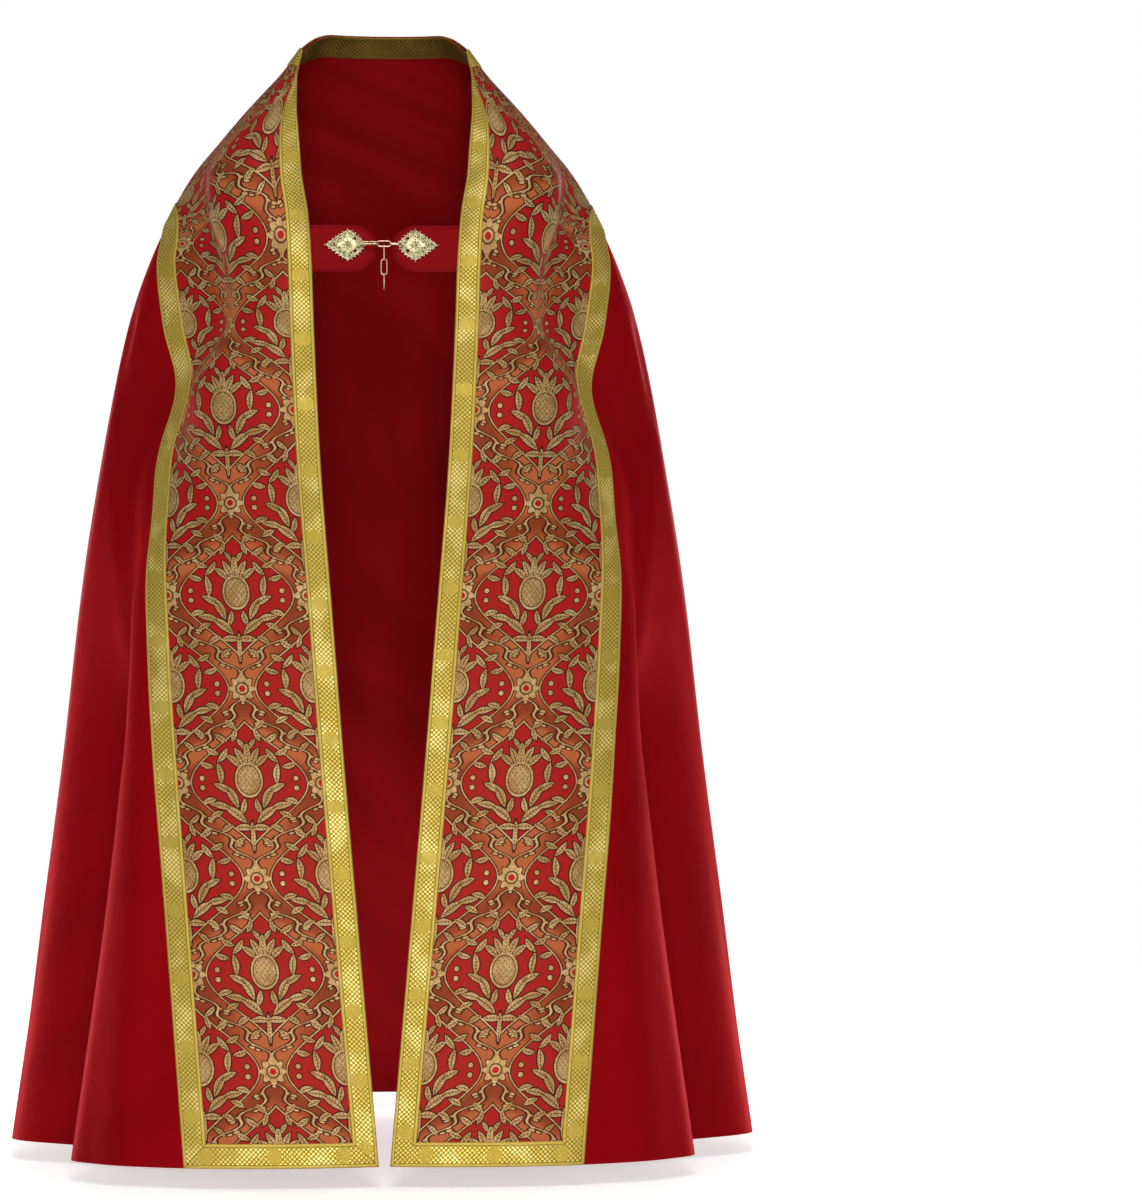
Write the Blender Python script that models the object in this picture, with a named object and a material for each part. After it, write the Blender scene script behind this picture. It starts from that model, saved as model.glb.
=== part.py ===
"""A cope: a red satin mantle with brocade orphreys, gold galloon, a fringed hood and a chain clasp.

It keeps the hollow form that it has when worn. Metres, +Z up, the front faces -Y and the wearer's neck
is round the Z axis. Everything is worked out from the sizes, the LEVELS table and the chest's slope.
"""

import math
from typing import NamedTuple

import bmesh
import bpy
import numpy as np
from mathutils import Matrix, Vector
from mathutils.bvhtree import BVHTree

MM = 0.001

# Cloth
WALL = 2.0 * MM  # satin and its lining, sewn together
BROCADE = 1.2 * MM
GALLOON = 1.2 * MM
SEAM = 0.3 * MM  # between pieces that lie on or beside each other
BAND_WIDTH = 238 * MM
BAND_SPREAD = 14 * MM  # more across a level where the band leans back over the shoulder
GALLOON_WIDTH = 30 * MM

# Grid of the mantle
FRONT_ROWS = 12  # from the hem to the turn of the band on the shoulder
EDGE_ROWS = 9  # from that turn up the front edge to the neck's corner
NECK_ROWS = 24  # from that turn round to the centre back; the mantle's columns run down from these
CORNER_U = 0.56  # where on the band's outer edge the row from the neck's corner ends
BAND_COLUMNS = 5
TURN_DROP = 300 * MM
SPREAD_FROM = 470 * MM
TURN_REACH = 0.12  # share of a level over which the band's outer edge rounds its turn
SECTION_POINTS = 121
CROWDING = 0.12  # metres of hem that a turn of one radian counts for when columns are shared out

# The section at each level
BACK_SQUARE = 0.68  # how far the back quarter's handles reach to its corner
BACK_RISE = 1.6  # how soon a level has come up to the back's height, past the side
BACK_FOLD_AT = 0.64  # share of the depth at which the back's side fold goes in
BACK_FOLD_HALF = 105 * MM


class Level(NamedTuple):
    """One level of the hanging cloth, in millimetres. Drops are below the neck's highest point."""

    edge_drop: float  # at the front edge
    side_drop: float
    back_drop: float  # at the centre back
    edge_x: float
    edge_y: float
    half_width: float
    back_y: float
    swell: float  # slope at which the front runs forward from its edge
    front_handle: float  # how far the front's curve holds that way, as a share of its width
    side_handle: float  # how far it holds straight back at the side, as a share of its depth
    front_fold: float  # depth of the fold beside the front panel
    fold_at: float  # share of the depth at which that fold goes in
    fold_half: float  # half the fold's width
    back_fold: float


LEVELS = (
    Level(34, 28, 0, 107, -8, 108, 70, 0.00, 0.72, 0.72, 0, 0.50, 95, 0),
    Level(75, 62, 40, 113, -44, 133, 92, 0.05, 0.72, 0.72, 0, 0.50, 95, 0),
    Level(112, 100, 82, 113, -72, 167, 110, 0.12, 0.72, 0.72, 0, 0.50, 90, 0),
    Level(150, 140, 122, 111, -95, 203, 125, 0.22, 0.74, 0.70, 2, 0.48, 80, 0),
    Level(200, 190, 168, 107, -118, 246, 139, 0.36, 0.74, 0.68, 14, 0.47, 70, 0),
    Level(262, 245, 222, 97, -142, 276, 153, 0.38, 0.58, 0.60, 32, 0.51, 62, 0),
    Level(325, 310, 295, 92, -162, 306, 168, 0.26, 0.38, 0.51, 44, 0.58, 62, 0),
    Level(400, 390, 380, 89, -180, 333, 180, 0.17, 0.45, 0.38, 57, 0.61, 68, 0),
    Level(485, 480, 475, 85, -194, 352, 190, 0.11, 0.70, 0.33, 57, 0.55, 77, 0),
    Level(600, 600, 600, 78, -210, 371, 202, -0.15, 0.85, 0.47, 38, 0.56, 88, 34),
    Level(760, 760, 760, 65, -228, 393, 220, -0.11, 0.93, 0.72, 58, 0.50, 95, 108),
    Level(950, 950, 950, 50, -246, 414, 244, 0.09, 0.74, 0.72, 106, 0.49, 96, 134),
    Level(1180, 1180, 1180, 30, -270, 444, 282, 0.12, 0.72, 0.72, 108, 0.50, 95, 148),
    Level(1443, 1443, 1443, 7, -300, 482, 330, 0.12, 0.72, 0.72, 110, 0.50, 95, 155),
)
LENGTH = LEVELS[-1].side_drop * MM
NECK = LEVELS[0].side_drop * MM / LENGTH
SHOULDER = LEVELS[5].side_drop * MM / LENGTH

# Hood: a shield that hangs from the band at the back
HOOD_HALF = 250 * MM
HOOD_BOTTOM = -680 * MM
HOOD_CORNER = 150 * MM
HOOD_CORNER_EASE, HOOD_CORNER_LEAST = 0.8, 12 * MM  # how the corner's radius shrinks inwards
HOOD_WALL = 1.8 * MM
HOOD_RINGS = (0, 30 * MM, 75 * MM, 120 * MM, 165 * MM, 210 * MM)
HOOD_OFF_TOP, HOOD_OFF_LOW = 2.0 * MM, 9.0 * MM
HOOD_EASE = 90 * MM  # how far down the hood takes to stand off fully
SIDE_STEPS, CORNER_STEPS, FLOOR_STEPS = 6, 6, 2

# Fringe
FRINGE_LENGTH = 38 * MM
FRINGE_STRIP = 4 * MM
STRANDS_A_SPAN = 4
STRAND_SHARE = 0.6
STRAND_TIP = 0.75
FRINGE_THICK = 1.6 * MM
FRINGE_DROOP = 1.1  # how much further a side strand goes down than out
FRINGE_SAG = 0.15  # the least that any strand bends down
FRINGE_LIFT = 0.22  # how far it stands off the flaring mantle

# Clasp, in its own frame: x across, t down the chest, n out from the tabs
CLASP_DROP = 300 * MM
CLASP_LEVELS = (0.15, 0.26)  # the levels at which the tabs meet the cloth
SLANT = 1.25  # how much thicker the leaning cloth is, measured straight out from the tabs
TAB_TALL, TAB_THICK = 64 * MM, 2.4 * MM
TAB_END, TAB_ROOT = 9 * MM, 122 * MM
TAB_SHIFT = 3.8 * MM  # how far its middle lies below the plates'
TAB_ROUND_STEPS = 10
PLATE_OUTER, PLATE_INNER, PLATE_HALF_TALL = 27.2 * MM, 21.5 * MM, 20.4 * MM  # from its middle
OUTER_POWER, INNER_POWER = 1.05, 1.3  # 1 makes a diamond's straight sides, 2 an ellipse
PLATE_EDGE, PLATE_CROWN = 1.2 * MM, 4.0 * MM
THORNS = 24
THORN = 2.4 * MM
LEFT_PLATE_X, RIGHT_PLATE_X = -46.7 * MM, 39.0 * MM
PIERCING = 2.3 * MM
PIERCED_AT = ((-16, 0), (9.3, -8.2), (9.3, 8.2))  # mm from its middle; x is positive towards the chain
WIRE = 0.8 * MM
POST = 1.3 * MM
CHAIN_OUT = 6.0 * MM
LINK_WIDTH = 8.9 * MM
LINK_STEPS = 4  # segments in each round end
WIRE_SIDES = 6
CENTRE_LINK_X, CENTRE_LINK_LONG = -0.6 * MM, 19.2 * MM
RIGHT_LINK_X, RIGHT_LINK_LONG = 13.1 * MM, 15.6 * MM
RIGHT_LINK_TILT = math.radians(60)
SPARE_LINK_LONG = 21.5 * MM
HOOK_START_X, HOOK_BEND, HOOK_HALF = -31 * MM, 2.4 * MM, 2.2 * MM
HOOK_WRAP = 0.95  # share of a half turn that the hook closes round the link
EYE_X, EYE_RADIUS, EYE_STEPS = 19.9 * MM, 2.7 * MM, 12


AROUND = np.linspace(0, 1, 2 * SECTION_POINTS - 1)


def lerp(a, b, share):
    return a + (b - a) * share


def smooth(share):
    share = np.clip(share, 0.0, 1.0)
    return share * share * (3 - 2 * share)


def column(name):
    return np.array([getattr(level, name) for level in LEVELS], float)


SIDE_DROPS = column("side_drop") * MM


def eased(values, at):
    """Values given at SIDE_DROPS, read at one drop on a smooth curve that doesn't overshoot."""
    steps = np.diff(SIDE_DROPS)
    slopes = np.diff(values) / steps
    tangents = np.zeros(len(values))
    tangents[0], tangents[-1] = slopes[0], slopes[-1]
    for i in range(1, len(values) - 1):
        if slopes[i - 1] * slopes[i] > 0:
            before, after = steps[i - 1], steps[i]
            weight = (2 * after + before, after + 2 * before)
            tangents[i] = sum(weight) / (weight[0] / slopes[i - 1] + weight[1] / slopes[i])
    k = int(np.clip(np.searchsorted(SIDE_DROPS, at) - 1, 0, len(steps) - 1))
    s = (at - SIDE_DROPS[k]) / steps[k]
    return (
        (1 + 2 * s) * (1 - s) ** 2 * values[k]
        + s * (1 - s) ** 2 * steps[k] * tangents[k]
        + s * s * (3 - 2 * s) * values[k + 1]
        + s * s * (s - 1) * steps[k] * tangents[k + 1]
    )


def bezier(points, shares):
    a, b, c, d = (np.array(p, float) for p in points)
    s = shares[:, None]
    return (1 - s) ** 3 * a + 3 * s * (1 - s) ** 2 * b + 3 * s * s * (1 - s) * c + s**3 * d


def bump(distance):
    return np.where(np.abs(distance) < 1, 0.5 + 0.5 * np.cos(math.pi * distance), 0.0)


def make_section(v):
    """The right half's curve at level v, from NECK to 1 at the hem, with its lengths along it."""
    drop = v * LENGTH
    edge_x, edge_y, width, back_y, edge_z, side_z, back_z, front_fold, fold_half, back_fold = (
        eased(column(name), drop) * MM
        for name in (
            "edge_x", "edge_y", "half_width", "back_y", "edge_drop",
            "side_drop", "back_drop", "front_fold", "fold_half", "back_fold",
        )
    )  # fmt: skip
    swell, front_handle, side_handle, fold_at = (
        eased(column(name), drop) for name in ("swell", "front_handle", "side_handle", "fold_at")
    )
    shares = np.linspace(0, 1, SECTION_POINTS)
    reach = front_handle * (width - edge_x)
    front = bezier(
        (
            (edge_x, edge_y),
            (edge_x + reach, edge_y - swell * reach),
            (width, side_handle * edge_y),
            (width, 0),
        ),
        shares,
    )
    back = bezier(
        ((width, 0), (width, BACK_SQUARE * back_y), (BACK_SQUARE * width, back_y), (0, back_y)),
        shares,
    )
    heights = np.concatenate(
        [-lerp(edge_z, side_z, smooth(shares)), -lerp(side_z, back_z, smooth(BACK_RISE * shares[1:]))]
    )
    flat = np.concatenate([front, back[1:]])
    flat[:, 0] -= front_fold * bump((flat[:, 1] - fold_at * edge_y) / fold_half)
    flat[:, 0] -= back_fold * bump((flat[:, 1] - BACK_FOLD_AT * back_y) / BACK_FOLD_HALF)
    curve = np.column_stack([flat, heights])
    lengths = np.concatenate([[0], np.cumsum(np.linalg.norm(np.diff(curve, axis=0), axis=1))])
    return curve, lengths


SECTIONS = {}


def section(v):
    key = round(float(v), 9)
    if key not in SECTIONS:
        SECTIONS[key] = make_section(key)
    return SECTIONS[key]


def on_cloth(u, v):
    """The point at u round level v: 0 at the front edge, 0.5 at the side, 1 at the centre back."""
    curve, _ = section(v)
    return np.array([np.interp(u, AROUND, curve[:, axis]) for axis in range(3)])


def share_across(distance, v):
    """The u that lies this many metres of cloth from the front edge at level v."""
    return float(np.interp(distance, section(v)[1], AROUND))


def band_end(v):
    """The u of the band's outer edge at level v."""
    spread = smooth((SPREAD_FROM - v * LENGTH) / (SPREAD_FROM - TURN_DROP))
    return share_across(BAND_WIDTH + BAND_SPREAD * spread, v)


def spaced(path, count):
    """count + 1 places (u, v) along path, a list of them, evenly spaced over the cloth."""
    path = np.array(path, float)
    points = np.array([on_cloth(*place) for place in path])
    run = np.concatenate([[0], np.cumsum(np.linalg.norm(np.diff(points, axis=0), axis=1))])
    wanted = np.linspace(0, run[-1], count + 1)
    return [(np.interp(w, run, path[:, 0]), np.interp(w, run, path[:, 1])) for w in wanted]


def straight(start, end, count=24):
    return [tuple(lerp(np.array(start), np.array(end), i / count)) for i in range(count + 1)]


def outer_edge_path():
    """The band's outer edge from its turn on the shoulder to the centre back."""
    turn = TURN_DROP / LENGTH
    start = np.array((band_end(turn), turn))
    corner = np.array((band_end(SHOULDER), SHOULDER))
    end = corner + np.array((TURN_REACH, 0))
    rounded = [
        tuple((1 - s) ** 2 * start + 2 * s * (1 - s) * corner + s * s * end)
        for s in np.linspace(0, 1, 16)
    ]
    return rounded + straight(end, (1, SHOULDER))[1:]


def band_places():
    """Rows of (u, v) across the band, from the hem up the front and round the neck to the back."""
    turn = TURN_DROP / LENGTH
    hem_strip = 1 - GALLOON_WIDTH / LENGTH
    levels = [1.0, *np.linspace(hem_strip, turn, FRONT_ROWS)]
    rows = [((0, v), (band_end(v), v)) for v in levels]
    inner = spaced(straight((0, turn), (0, NECK)), EDGE_ROWS)
    inner += spaced(straight((0, NECK), (1, NECK)), NECK_ROWS - EDGE_ROWS)[1:]
    path = outer_edge_path()
    split = next(i for i, (u, _) in enumerate(path) if u >= CORNER_U)
    outer = spaced(path[: split + 1], EDGE_ROWS) + spaced(path[split:], NECK_ROWS - EDGE_ROWS)[1:]
    return rows[:-1] + list(zip(inner, outer)), FRONT_ROWS + EDGE_ROWS


def band_row(inner, outer):
    """The places at the band's columns: its edges, and lines a galloon's width in from each."""
    path = np.array(straight(inner, outer, 40))
    points = np.array([on_cloth(*place) for place in path])
    run = np.concatenate([[0], np.cumsum(np.linalg.norm(np.diff(points, axis=0), axis=1))])
    within = np.linspace(GALLOON_WIDTH, run[-1] - GALLOON_WIDTH, BAND_COLUMNS - 1)
    wanted = [0, *within, run[-1]]
    return [(np.interp(w, run, path[:, 0]), np.interp(w, run, path[:, 1])) for w in wanted]


def hem_shares():
    """Where the mantle's columns meet the hem, from the band to the centre back, closer in folds."""
    curve, lengths = section(1)
    steps = np.diff(curve[:, :2], axis=0)
    angles = np.unwrap(np.arctan2(steps[:, 1], steps[:, 0]))
    turning = np.concatenate([[0], np.abs(np.diff(angles))])
    cost = np.concatenate([[0], np.cumsum(np.linalg.norm(steps, axis=1) + CROWDING * turning)])
    start = np.interp(BAND_WIDTH, lengths, cost)
    wanted = np.linspace(start, cost[-1], NECK_ROWS + 1)
    shares = np.interp(wanted, cost, AROUND)
    return (shares - shares[0]) / (1 - shares[0])


class Grid:
    """The whole mantle's points and outward normals. Every cloth piece on it is made from these."""

    def __init__(self):
        rows, self.corner_row = band_places()
        self.places = []
        self.band = [[self.add(*place) for place in band_row(*row)] for row in rows]
        self.rest = self.make_rest()
        points = np.array([on_cloth(*place) for place in self.places])
        points[[i for i, place in enumerate(self.places) if place[0] > 1 - 1e-9], 0] = 0
        self.points = np.concatenate([points, points * (-1, 1, 1)])
        self.twin = {i: i if points[i, 0] == 0 else i + len(points) for i in range(len(points))}
        self.faces = self.band_faces() + self.rest_faces()
        self.all_faces = self.faces + self.other_side(self.faces)
        self.normals = normals_of(self.points, self.all_faces)

    def add(self, u, v):
        self.places.append((float(u), float(v)))
        return len(self.places) - 1

    def make_rest(self):
        """The mantle behind the band: rows from the hem up to the band's turn, columns to the back."""
        top = [self.places[self.band[FRONT_ROWS + k][-1]] for k in range(NECK_ROWS + 1)]
        top_shares = [(u - top[0][0]) / (1 - top[0][0]) for u, _ in top]
        low_shares = hem_shares()
        rest = []
        for i in range(FRONT_ROWS):
            u_left, v_left = self.places[self.band[i][-1]]
            up = (1 - v_left) / (1 - top[0][1])
            row = [self.band[i][-1]]
            for k in range(1, NECK_ROWS + 1):
                across = lerp(low_shares[k], top_shares[k], up)
                row.append(self.add(u_left + (1 - u_left) * across, lerp(1, top[k][1], up)))
            rest.append(row)
        rest.append([self.band[FRONT_ROWS + k][-1] for k in range(NECK_ROWS + 1)])
        return rest

    def split(self, a, b, c, d):
        """A quad as two triangles, cut along the diagonal that lies closer to the cloth."""
        middle = on_cloth(*np.mean([self.places[i] for i in (a, b, c, d)], axis=0))
        gaps = [
            np.linalg.norm(lerp(self.points[i], self.points[j], 0.5) - middle)
            for i, j in ((a, c), (b, d))
        ]
        return cell(a, b, c, d) if gaps[0] <= gaps[1] else cell(b, c, d, a)

    def band_faces(self, rows=None, columns=(0, BAND_COLUMNS)):
        """The band's faces. Row 0 is always cut from its first corner, because galloons mitre there."""
        first, last = rows or (0, len(self.band) - 1)
        faces = []
        for i in range(first, last):
            low, high = self.band[i], self.band[i + 1]
            cut = cell if i == 0 else self.split
            for j in range(*columns):
                faces += cut(low[j], low[j + 1], high[j + 1], high[j])
        return faces

    def rest_faces(self):
        return [
            face
            for low, high in zip(self.rest, self.rest[1:])
            for k in range(NECK_ROWS)
            for face in self.split(low[k], low[k + 1], high[k + 1], high[k])
        ]

    def other_side(self, faces):
        return [tuple(self.twin[i] for i in reversed(face)) for face in faces]


def cell(a, b, c, d):
    """A quad as two triangles, always cut from its first corner."""
    return [(a, b, c), (a, c, d)]


def normals_of(points, faces):
    normals = np.zeros_like(points)
    for face in faces:
        a, b, c = points[list(face)]
        normals[list(face)] += np.cross(b - a, c - a)
    return normals / np.maximum(np.linalg.norm(normals, axis=1), 1e-12)[:, None]


def material(name, colour, roughness, metallic=0.0):
    made = bpy.data.materials.new(name)
    made.use_nodes = True
    shader = made.node_tree.nodes["Principled BSDF"]
    shader.inputs["Base Color"].default_value = (*colour, 1)
    shader.inputs["Roughness"].default_value = roughness
    shader.inputs["Metallic"].default_value = metallic
    return made


def add_object(name, points, faces, finish):
    mesh = bpy.data.meshes.new(name)
    mesh.from_pydata([tuple(p) for p in points], [], faces)
    mesh.materials.append(finish)
    made = bpy.data.objects.new(name, mesh)
    bpy.context.scene.collection.objects.link(made)
    return made


def open_edges(faces):
    """The edges that only one face has, in that face's direction."""
    found = {}
    for face in faces:
        for a, b in zip(face, face[1:] + face[:1]):
            if (b, a) in found:
                del found[(b, a)]
            else:
                found[(a, b)] = True
    return list(found)


def cloth(name, points, normals, faces, inner, outer, finish, moves=None):
    """A closed wall over faces, from inner to outer metres along the normals."""
    used = sorted({i for face in faces for i in face})
    index = {old: new for new, old in enumerate(used)}
    centre = points[used].copy()
    for old, move in (moves or {}).items():
        if old in index:
            centre[index[old]] += move
    out, count = normals[used], len(used)
    low = [tuple(index[i] for i in face) for face in faces]
    walls = []
    for a, b in open_edges(low):
        walls += [(a + count, b, b + count), (a + count, a, b)]
    made_faces = [tuple(i + count for i in face) for face in low]
    made_faces += [tuple(reversed(face)) for face in low] + walls
    made_points = np.concatenate([centre + inner * out, centre + outer * out])
    return add_object(name, made_points, made_faces, finish)


def make_mantle(grid, finish):
    cloth("mantle", grid.points, grid.normals, grid.all_faces, -WALL, 0, finish)


def make_band_pieces(grid, brocade, gold):
    """The orphreys, and the galloon along both their edges, at the hem and up the centre back."""
    lift = SEAM + BROCADE
    right = grid.band_faces()
    back = grid.band[-1]
    for side, faces in (("right", right), ("left", grid.other_side(right))):
        way = 1 if side == "right" else -1
        moves = {i: np.array((way * SEAM / 2, 0, 0)) for i in back}
        cloth(f"orphrey_{side}", grid.points, grid.normals, faces, SEAM, lift, brocade, moves)

    low, high = lift + SEAM, lift + SEAM + GALLOON
    last = BAND_COLUMNS - 1
    hem_row, next_row = grid.band[:2]
    inner_mitre = (hem_row[0], hem_row[1], next_row[1])
    outer_mitre = (hem_row[last], hem_row[last + 1], next_row[last])
    inner = [f for f in grid.band_faces(columns=(0, 1)) if f != inner_mitre]
    outer = grid.band_faces(columns=(last, last + 1))[2:]
    outer.append((hem_row[last + 1], next_row[last + 1], next_row[last]))
    raised = np.array((0, 0, 2 * SEAM))
    for name, faces, cut in (
        ("galloon_edge", inner, (hem_row[0], next_row[1])),
        ("galloon_outer", outer, (hem_row[-1], next_row[last])),
    ):
        moves = {i: raised for end in cut for i in (end, grid.twin[end])}
        whole = faces + grid.other_side(faces)
        cloth(name, grid.points, grid.normals, whole, low, high, gold, moves)

    hem = grid.band_faces(rows=(0, 1), columns=(1, last)) + [inner_mitre, outer_mitre]
    cloth("galloon_hem_right", grid.points, grid.normals, hem, low, high, gold)
    cloth("galloon_hem_left", grid.points, grid.normals, grid.other_side(hem), low, high, gold)

    make_centre_galloon(grid, low, high, gold)
    neck = grid.band_faces(rows=(grid.corner_row + 1, len(grid.band) - 1), columns=(0, 1))
    neck += grid.other_side(neck)
    inside = -WALL - SEAM
    cloth("galloon_neck_inside", grid.points, grid.normals, neck, inside - GALLOON, inside, gold)


def make_centre_galloon(grid, low, high, gold):
    """Galloon over the seam between the orphreys at the centre back, between the other two."""
    last = BAND_COLUMNS - 1
    rows = []
    for j in range(1, last + 1):
        middle, beside = grid.band[-1][j], grid.band[-2][j]
        reach = (GALLOON_WIDTH / 2) / abs(grid.points[beside, 0])
        edge = lerp(grid.points[middle], grid.points[beside], reach)
        edge_out = lerp(grid.normals[middle], grid.normals[beside], reach)
        rows.append((edge, edge_out, grid.points[middle], grid.normals[middle]))
    points, normals, faces = [], [], []
    for edge, edge_out, middle, middle_out in rows:
        points += [edge, middle, edge * (-1, 1, 1)]
        normals += [edge_out, middle_out, edge_out * (-1, 1, 1)]
    for k in range(len(rows) - 1):
        for side in range(2):
            a = 3 * k + side
            faces += cell(a, a + 3, a + 4, a + 1)
    points, normals = np.array(points), np.array(normals)
    down = np.array((0, 0, -2 * SEAM))
    moves = {i: down for i in range(3)} | {len(points) - 1 - i: -down for i in range(3)}
    cloth("galloon_centre_back", points, normals, faces, low, high, gold, moves)


def shield(inset):
    """The hood's outline in (x, z), this far inside its edge, from its right top round to its left."""
    half, floor = HOOD_HALF - inset, HOOD_BOTTOM + inset
    radius = min(max(HOOD_CORNER - inset * HOOD_CORNER_EASE, HOOD_CORNER_LEAST), half)
    side = [(half, None, i / SIDE_STEPS) for i in range(SIDE_STEPS)]
    arc = [
        (half - radius + radius * math.cos(a), floor + radius - radius * math.sin(a), None)
        for a in np.linspace(0, math.pi / 2, CORNER_STEPS + 1)
    ]
    flat = [(x, floor, None) for x in np.linspace(half - radius, 0, FLOOR_STEPS + 1)[1:]]
    return [*side, *arc, *flat], floor + radius


def make_hood(grid, brocade, gold, cord):
    mantle = BVHTree.FromPolygons([Vector(p) for p in grid.points], grid.all_faces)
    top_u = np.linspace(0, 1, 80)
    top = np.array([on_cloth(u, SHOULDER) for u in top_u])
    behind = top[top[:, 1] > 0]
    order = np.argsort(behind[:, 0])

    def top_z(x):
        return float(np.interp(abs(x), behind[order, 0], behind[order, 2])) - SEAM

    def stand_off(x, z):
        """The point of the hood's inner face at (x, z), and the way out there."""
        hit, out, _, _ = mantle.ray_cast(Vector((x, 1, z)), Vector((0, -1, 0)))
        eased_in = float(smooth((top_z(x) - z) / HOOD_EASE))
        off = lerp(HOOD_OFF_TOP, HOOD_OFF_LOW, eased_in)
        return np.array(hit + Vector((0, off / max(out.y, 0.5), 0)))

    rings = []
    for inset in HOOD_RINGS:
        half_ring, corner_z = shield(inset)
        ring = []
        for x, z, share in half_ring:
            ring.append((x, lerp(top_z(x), corner_z, share) if z is None else z))
        ring += [(-x, z) for x, z in reversed(ring[:-1])]
        rings.append(ring)
    count = len(rings[0])
    places = [place for ring in rings for place in ring]
    faces = []
    for r in range(len(rings) - 1):
        for i in range(count - 1):
            a, b = r * count + i, (r + 1) * count + i
            faces += cell(a, b, b + 1, a + 1)
    first = (len(rings) - 1) * count
    half_count = (count - 1) // 2
    middles = []
    for i in range(half_count):
        places.append((0.0, lerp(top_z(0), rings[-1][half_count][1], i / half_count)))
        middles.append(len(places) - 1)
    middles.append(first + half_count)
    for i in range(half_count):
        right, left = first + i, first + count - 1 - i
        if i < half_count - 1:
            faces += cell(right, middles[i], middles[i + 1], right + 1)
            faces += cell(middles[i], left, left - 1, middles[i + 1])
        else:
            faces.append((right, middles[i], middles[i + 1]))
            faces.append((middles[i], left, middles[i + 1]))
    points = np.array([stand_off(x, z) for x, z in places])
    normals = normals_of(points, faces)
    if normals[:, 1].sum() < 0:
        faces = [tuple(reversed(face)) for face in faces]
        normals = -normals
    cloth("hood", points, normals, faces, 0, HOOD_WALL, brocade)
    strip = [face for face in faces if max(face) < 2 * count]
    low = HOOD_WALL + SEAM
    cloth("galloon_hood", points, normals, strip, low, low + GALLOON, gold)
    make_fringe(points[:count], normals[:count], cord)


def make_fringe(edge, out, cord):
    """Strands along the hood's edge, fused into a narrow strip just outside it."""
    along = np.gradient(edge, axis=0)
    along /= np.linalg.norm(along, axis=1)[:, None]
    away = np.cross(along, out)
    away /= np.linalg.norm(away, axis=1)[:, None]
    if away[0, 0] < 0:
        away = -away
    inner = edge + away * SEAM
    outer = edge + away * (SEAM + FRINGE_STRIP)
    points, faces = [], []

    def add(point):
        points.append(np.array(point, float))
        return len(points) - 1

    def pair(place, normal):
        """The strip's back and front corners at a place."""
        return add(place), add(place + normal * FRINGE_THICK)

    def tip(place, normal, drift):
        down = drift * FRINGE_LENGTH
        return add(place + down), add(place + down + normal * FRINGE_THICK * STRAND_TIP)

    ins = [pair(p, n) for p, n in zip(inner, out)]
    outs = [pair(outer[0], out[0])]
    for k in range(len(edge) - 1):
        cells = [outs[-1]]
        marks = []
        pitch = 1 / STRANDS_A_SPAN
        for s in range(STRANDS_A_SPAN):
            start = pitch * (s + (1 - STRAND_SHARE) / 2)
            marks += [start, start + pitch * STRAND_SHARE]
        for mark in marks:
            cells.append(pair(lerp(outer[k], outer[k + 1], mark), lerp(out[k], out[k + 1], mark)))
        cells.append(pair(outer[k + 1], out[k + 1]))
        outs.append(cells[-1])
        middle = len(cells) // 2
        (a_low, a_high), (b_low, b_high) = ins[k], ins[k + 1]
        for q in range(len(cells) - 1):
            (c_low, c_high), (d_low, d_high) = cells[q], cells[q + 1]
            root_low, root_high = (a_low, a_high) if q < middle else (b_low, b_high)
            faces.append((root_high, c_high, d_high))
            faces.append((root_low, d_low, c_low))
            is_strand = q % 2 == 1
            if not is_strand:
                faces += cell(c_low, d_low, d_high, c_high)
                continue
            share = (marks[q - 1] + marks[q]) / 2
            way = lerp(away[k], away[k + 1], share)
            normal = lerp(out[k], out[k + 1], share)
            way = way + np.array((0, 0, -FRINGE_DROOP * abs(way[0]) - FRINGE_SAG)) + FRINGE_LIFT * normal
            way /= np.linalg.norm(way)
            middle_point = (points[c_low] + points[d_low]) / 2
            ends = [lerp(middle_point, points[i], STRAND_TIP) for i in (c_low, d_low)]
            (e_low, e_high), (f_low, f_high) = (tip(end, normal, way) for end in ends)
            faces += cell(c_low, d_low, f_low, e_low)
            faces += cell(d_high, c_high, e_high, f_high)
            faces += cell(c_high, c_low, e_low, e_high)
            faces += cell(d_low, d_high, f_high, f_low)
            faces += cell(e_low, f_low, f_high, e_high)
        faces.append((a_high, cells[middle][1], b_high))
        faces.append((a_low, b_low, cells[middle][0]))
        faces += cell(b_low, a_low, a_high, b_high)
    for (in_low, in_high), (out_low, out_high), flip in (
        (ins[0], outs[0], False),
        (ins[-1], outs[-1], True),
    ):
        end = cell(in_low, out_low, out_high, in_high)
        faces += [tuple(reversed(face)) for face in end] if flip else end
    points = np.array(points)
    corners = points[np.array(faces)]
    if np.einsum("ij,ij->", corners[:, 0], np.cross(corners[:, 1], corners[:, 2])) < 0:
        faces = [tuple(reversed(face)) for face in faces]
    add_object("fringe_hood", points, faces, cord)


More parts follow.
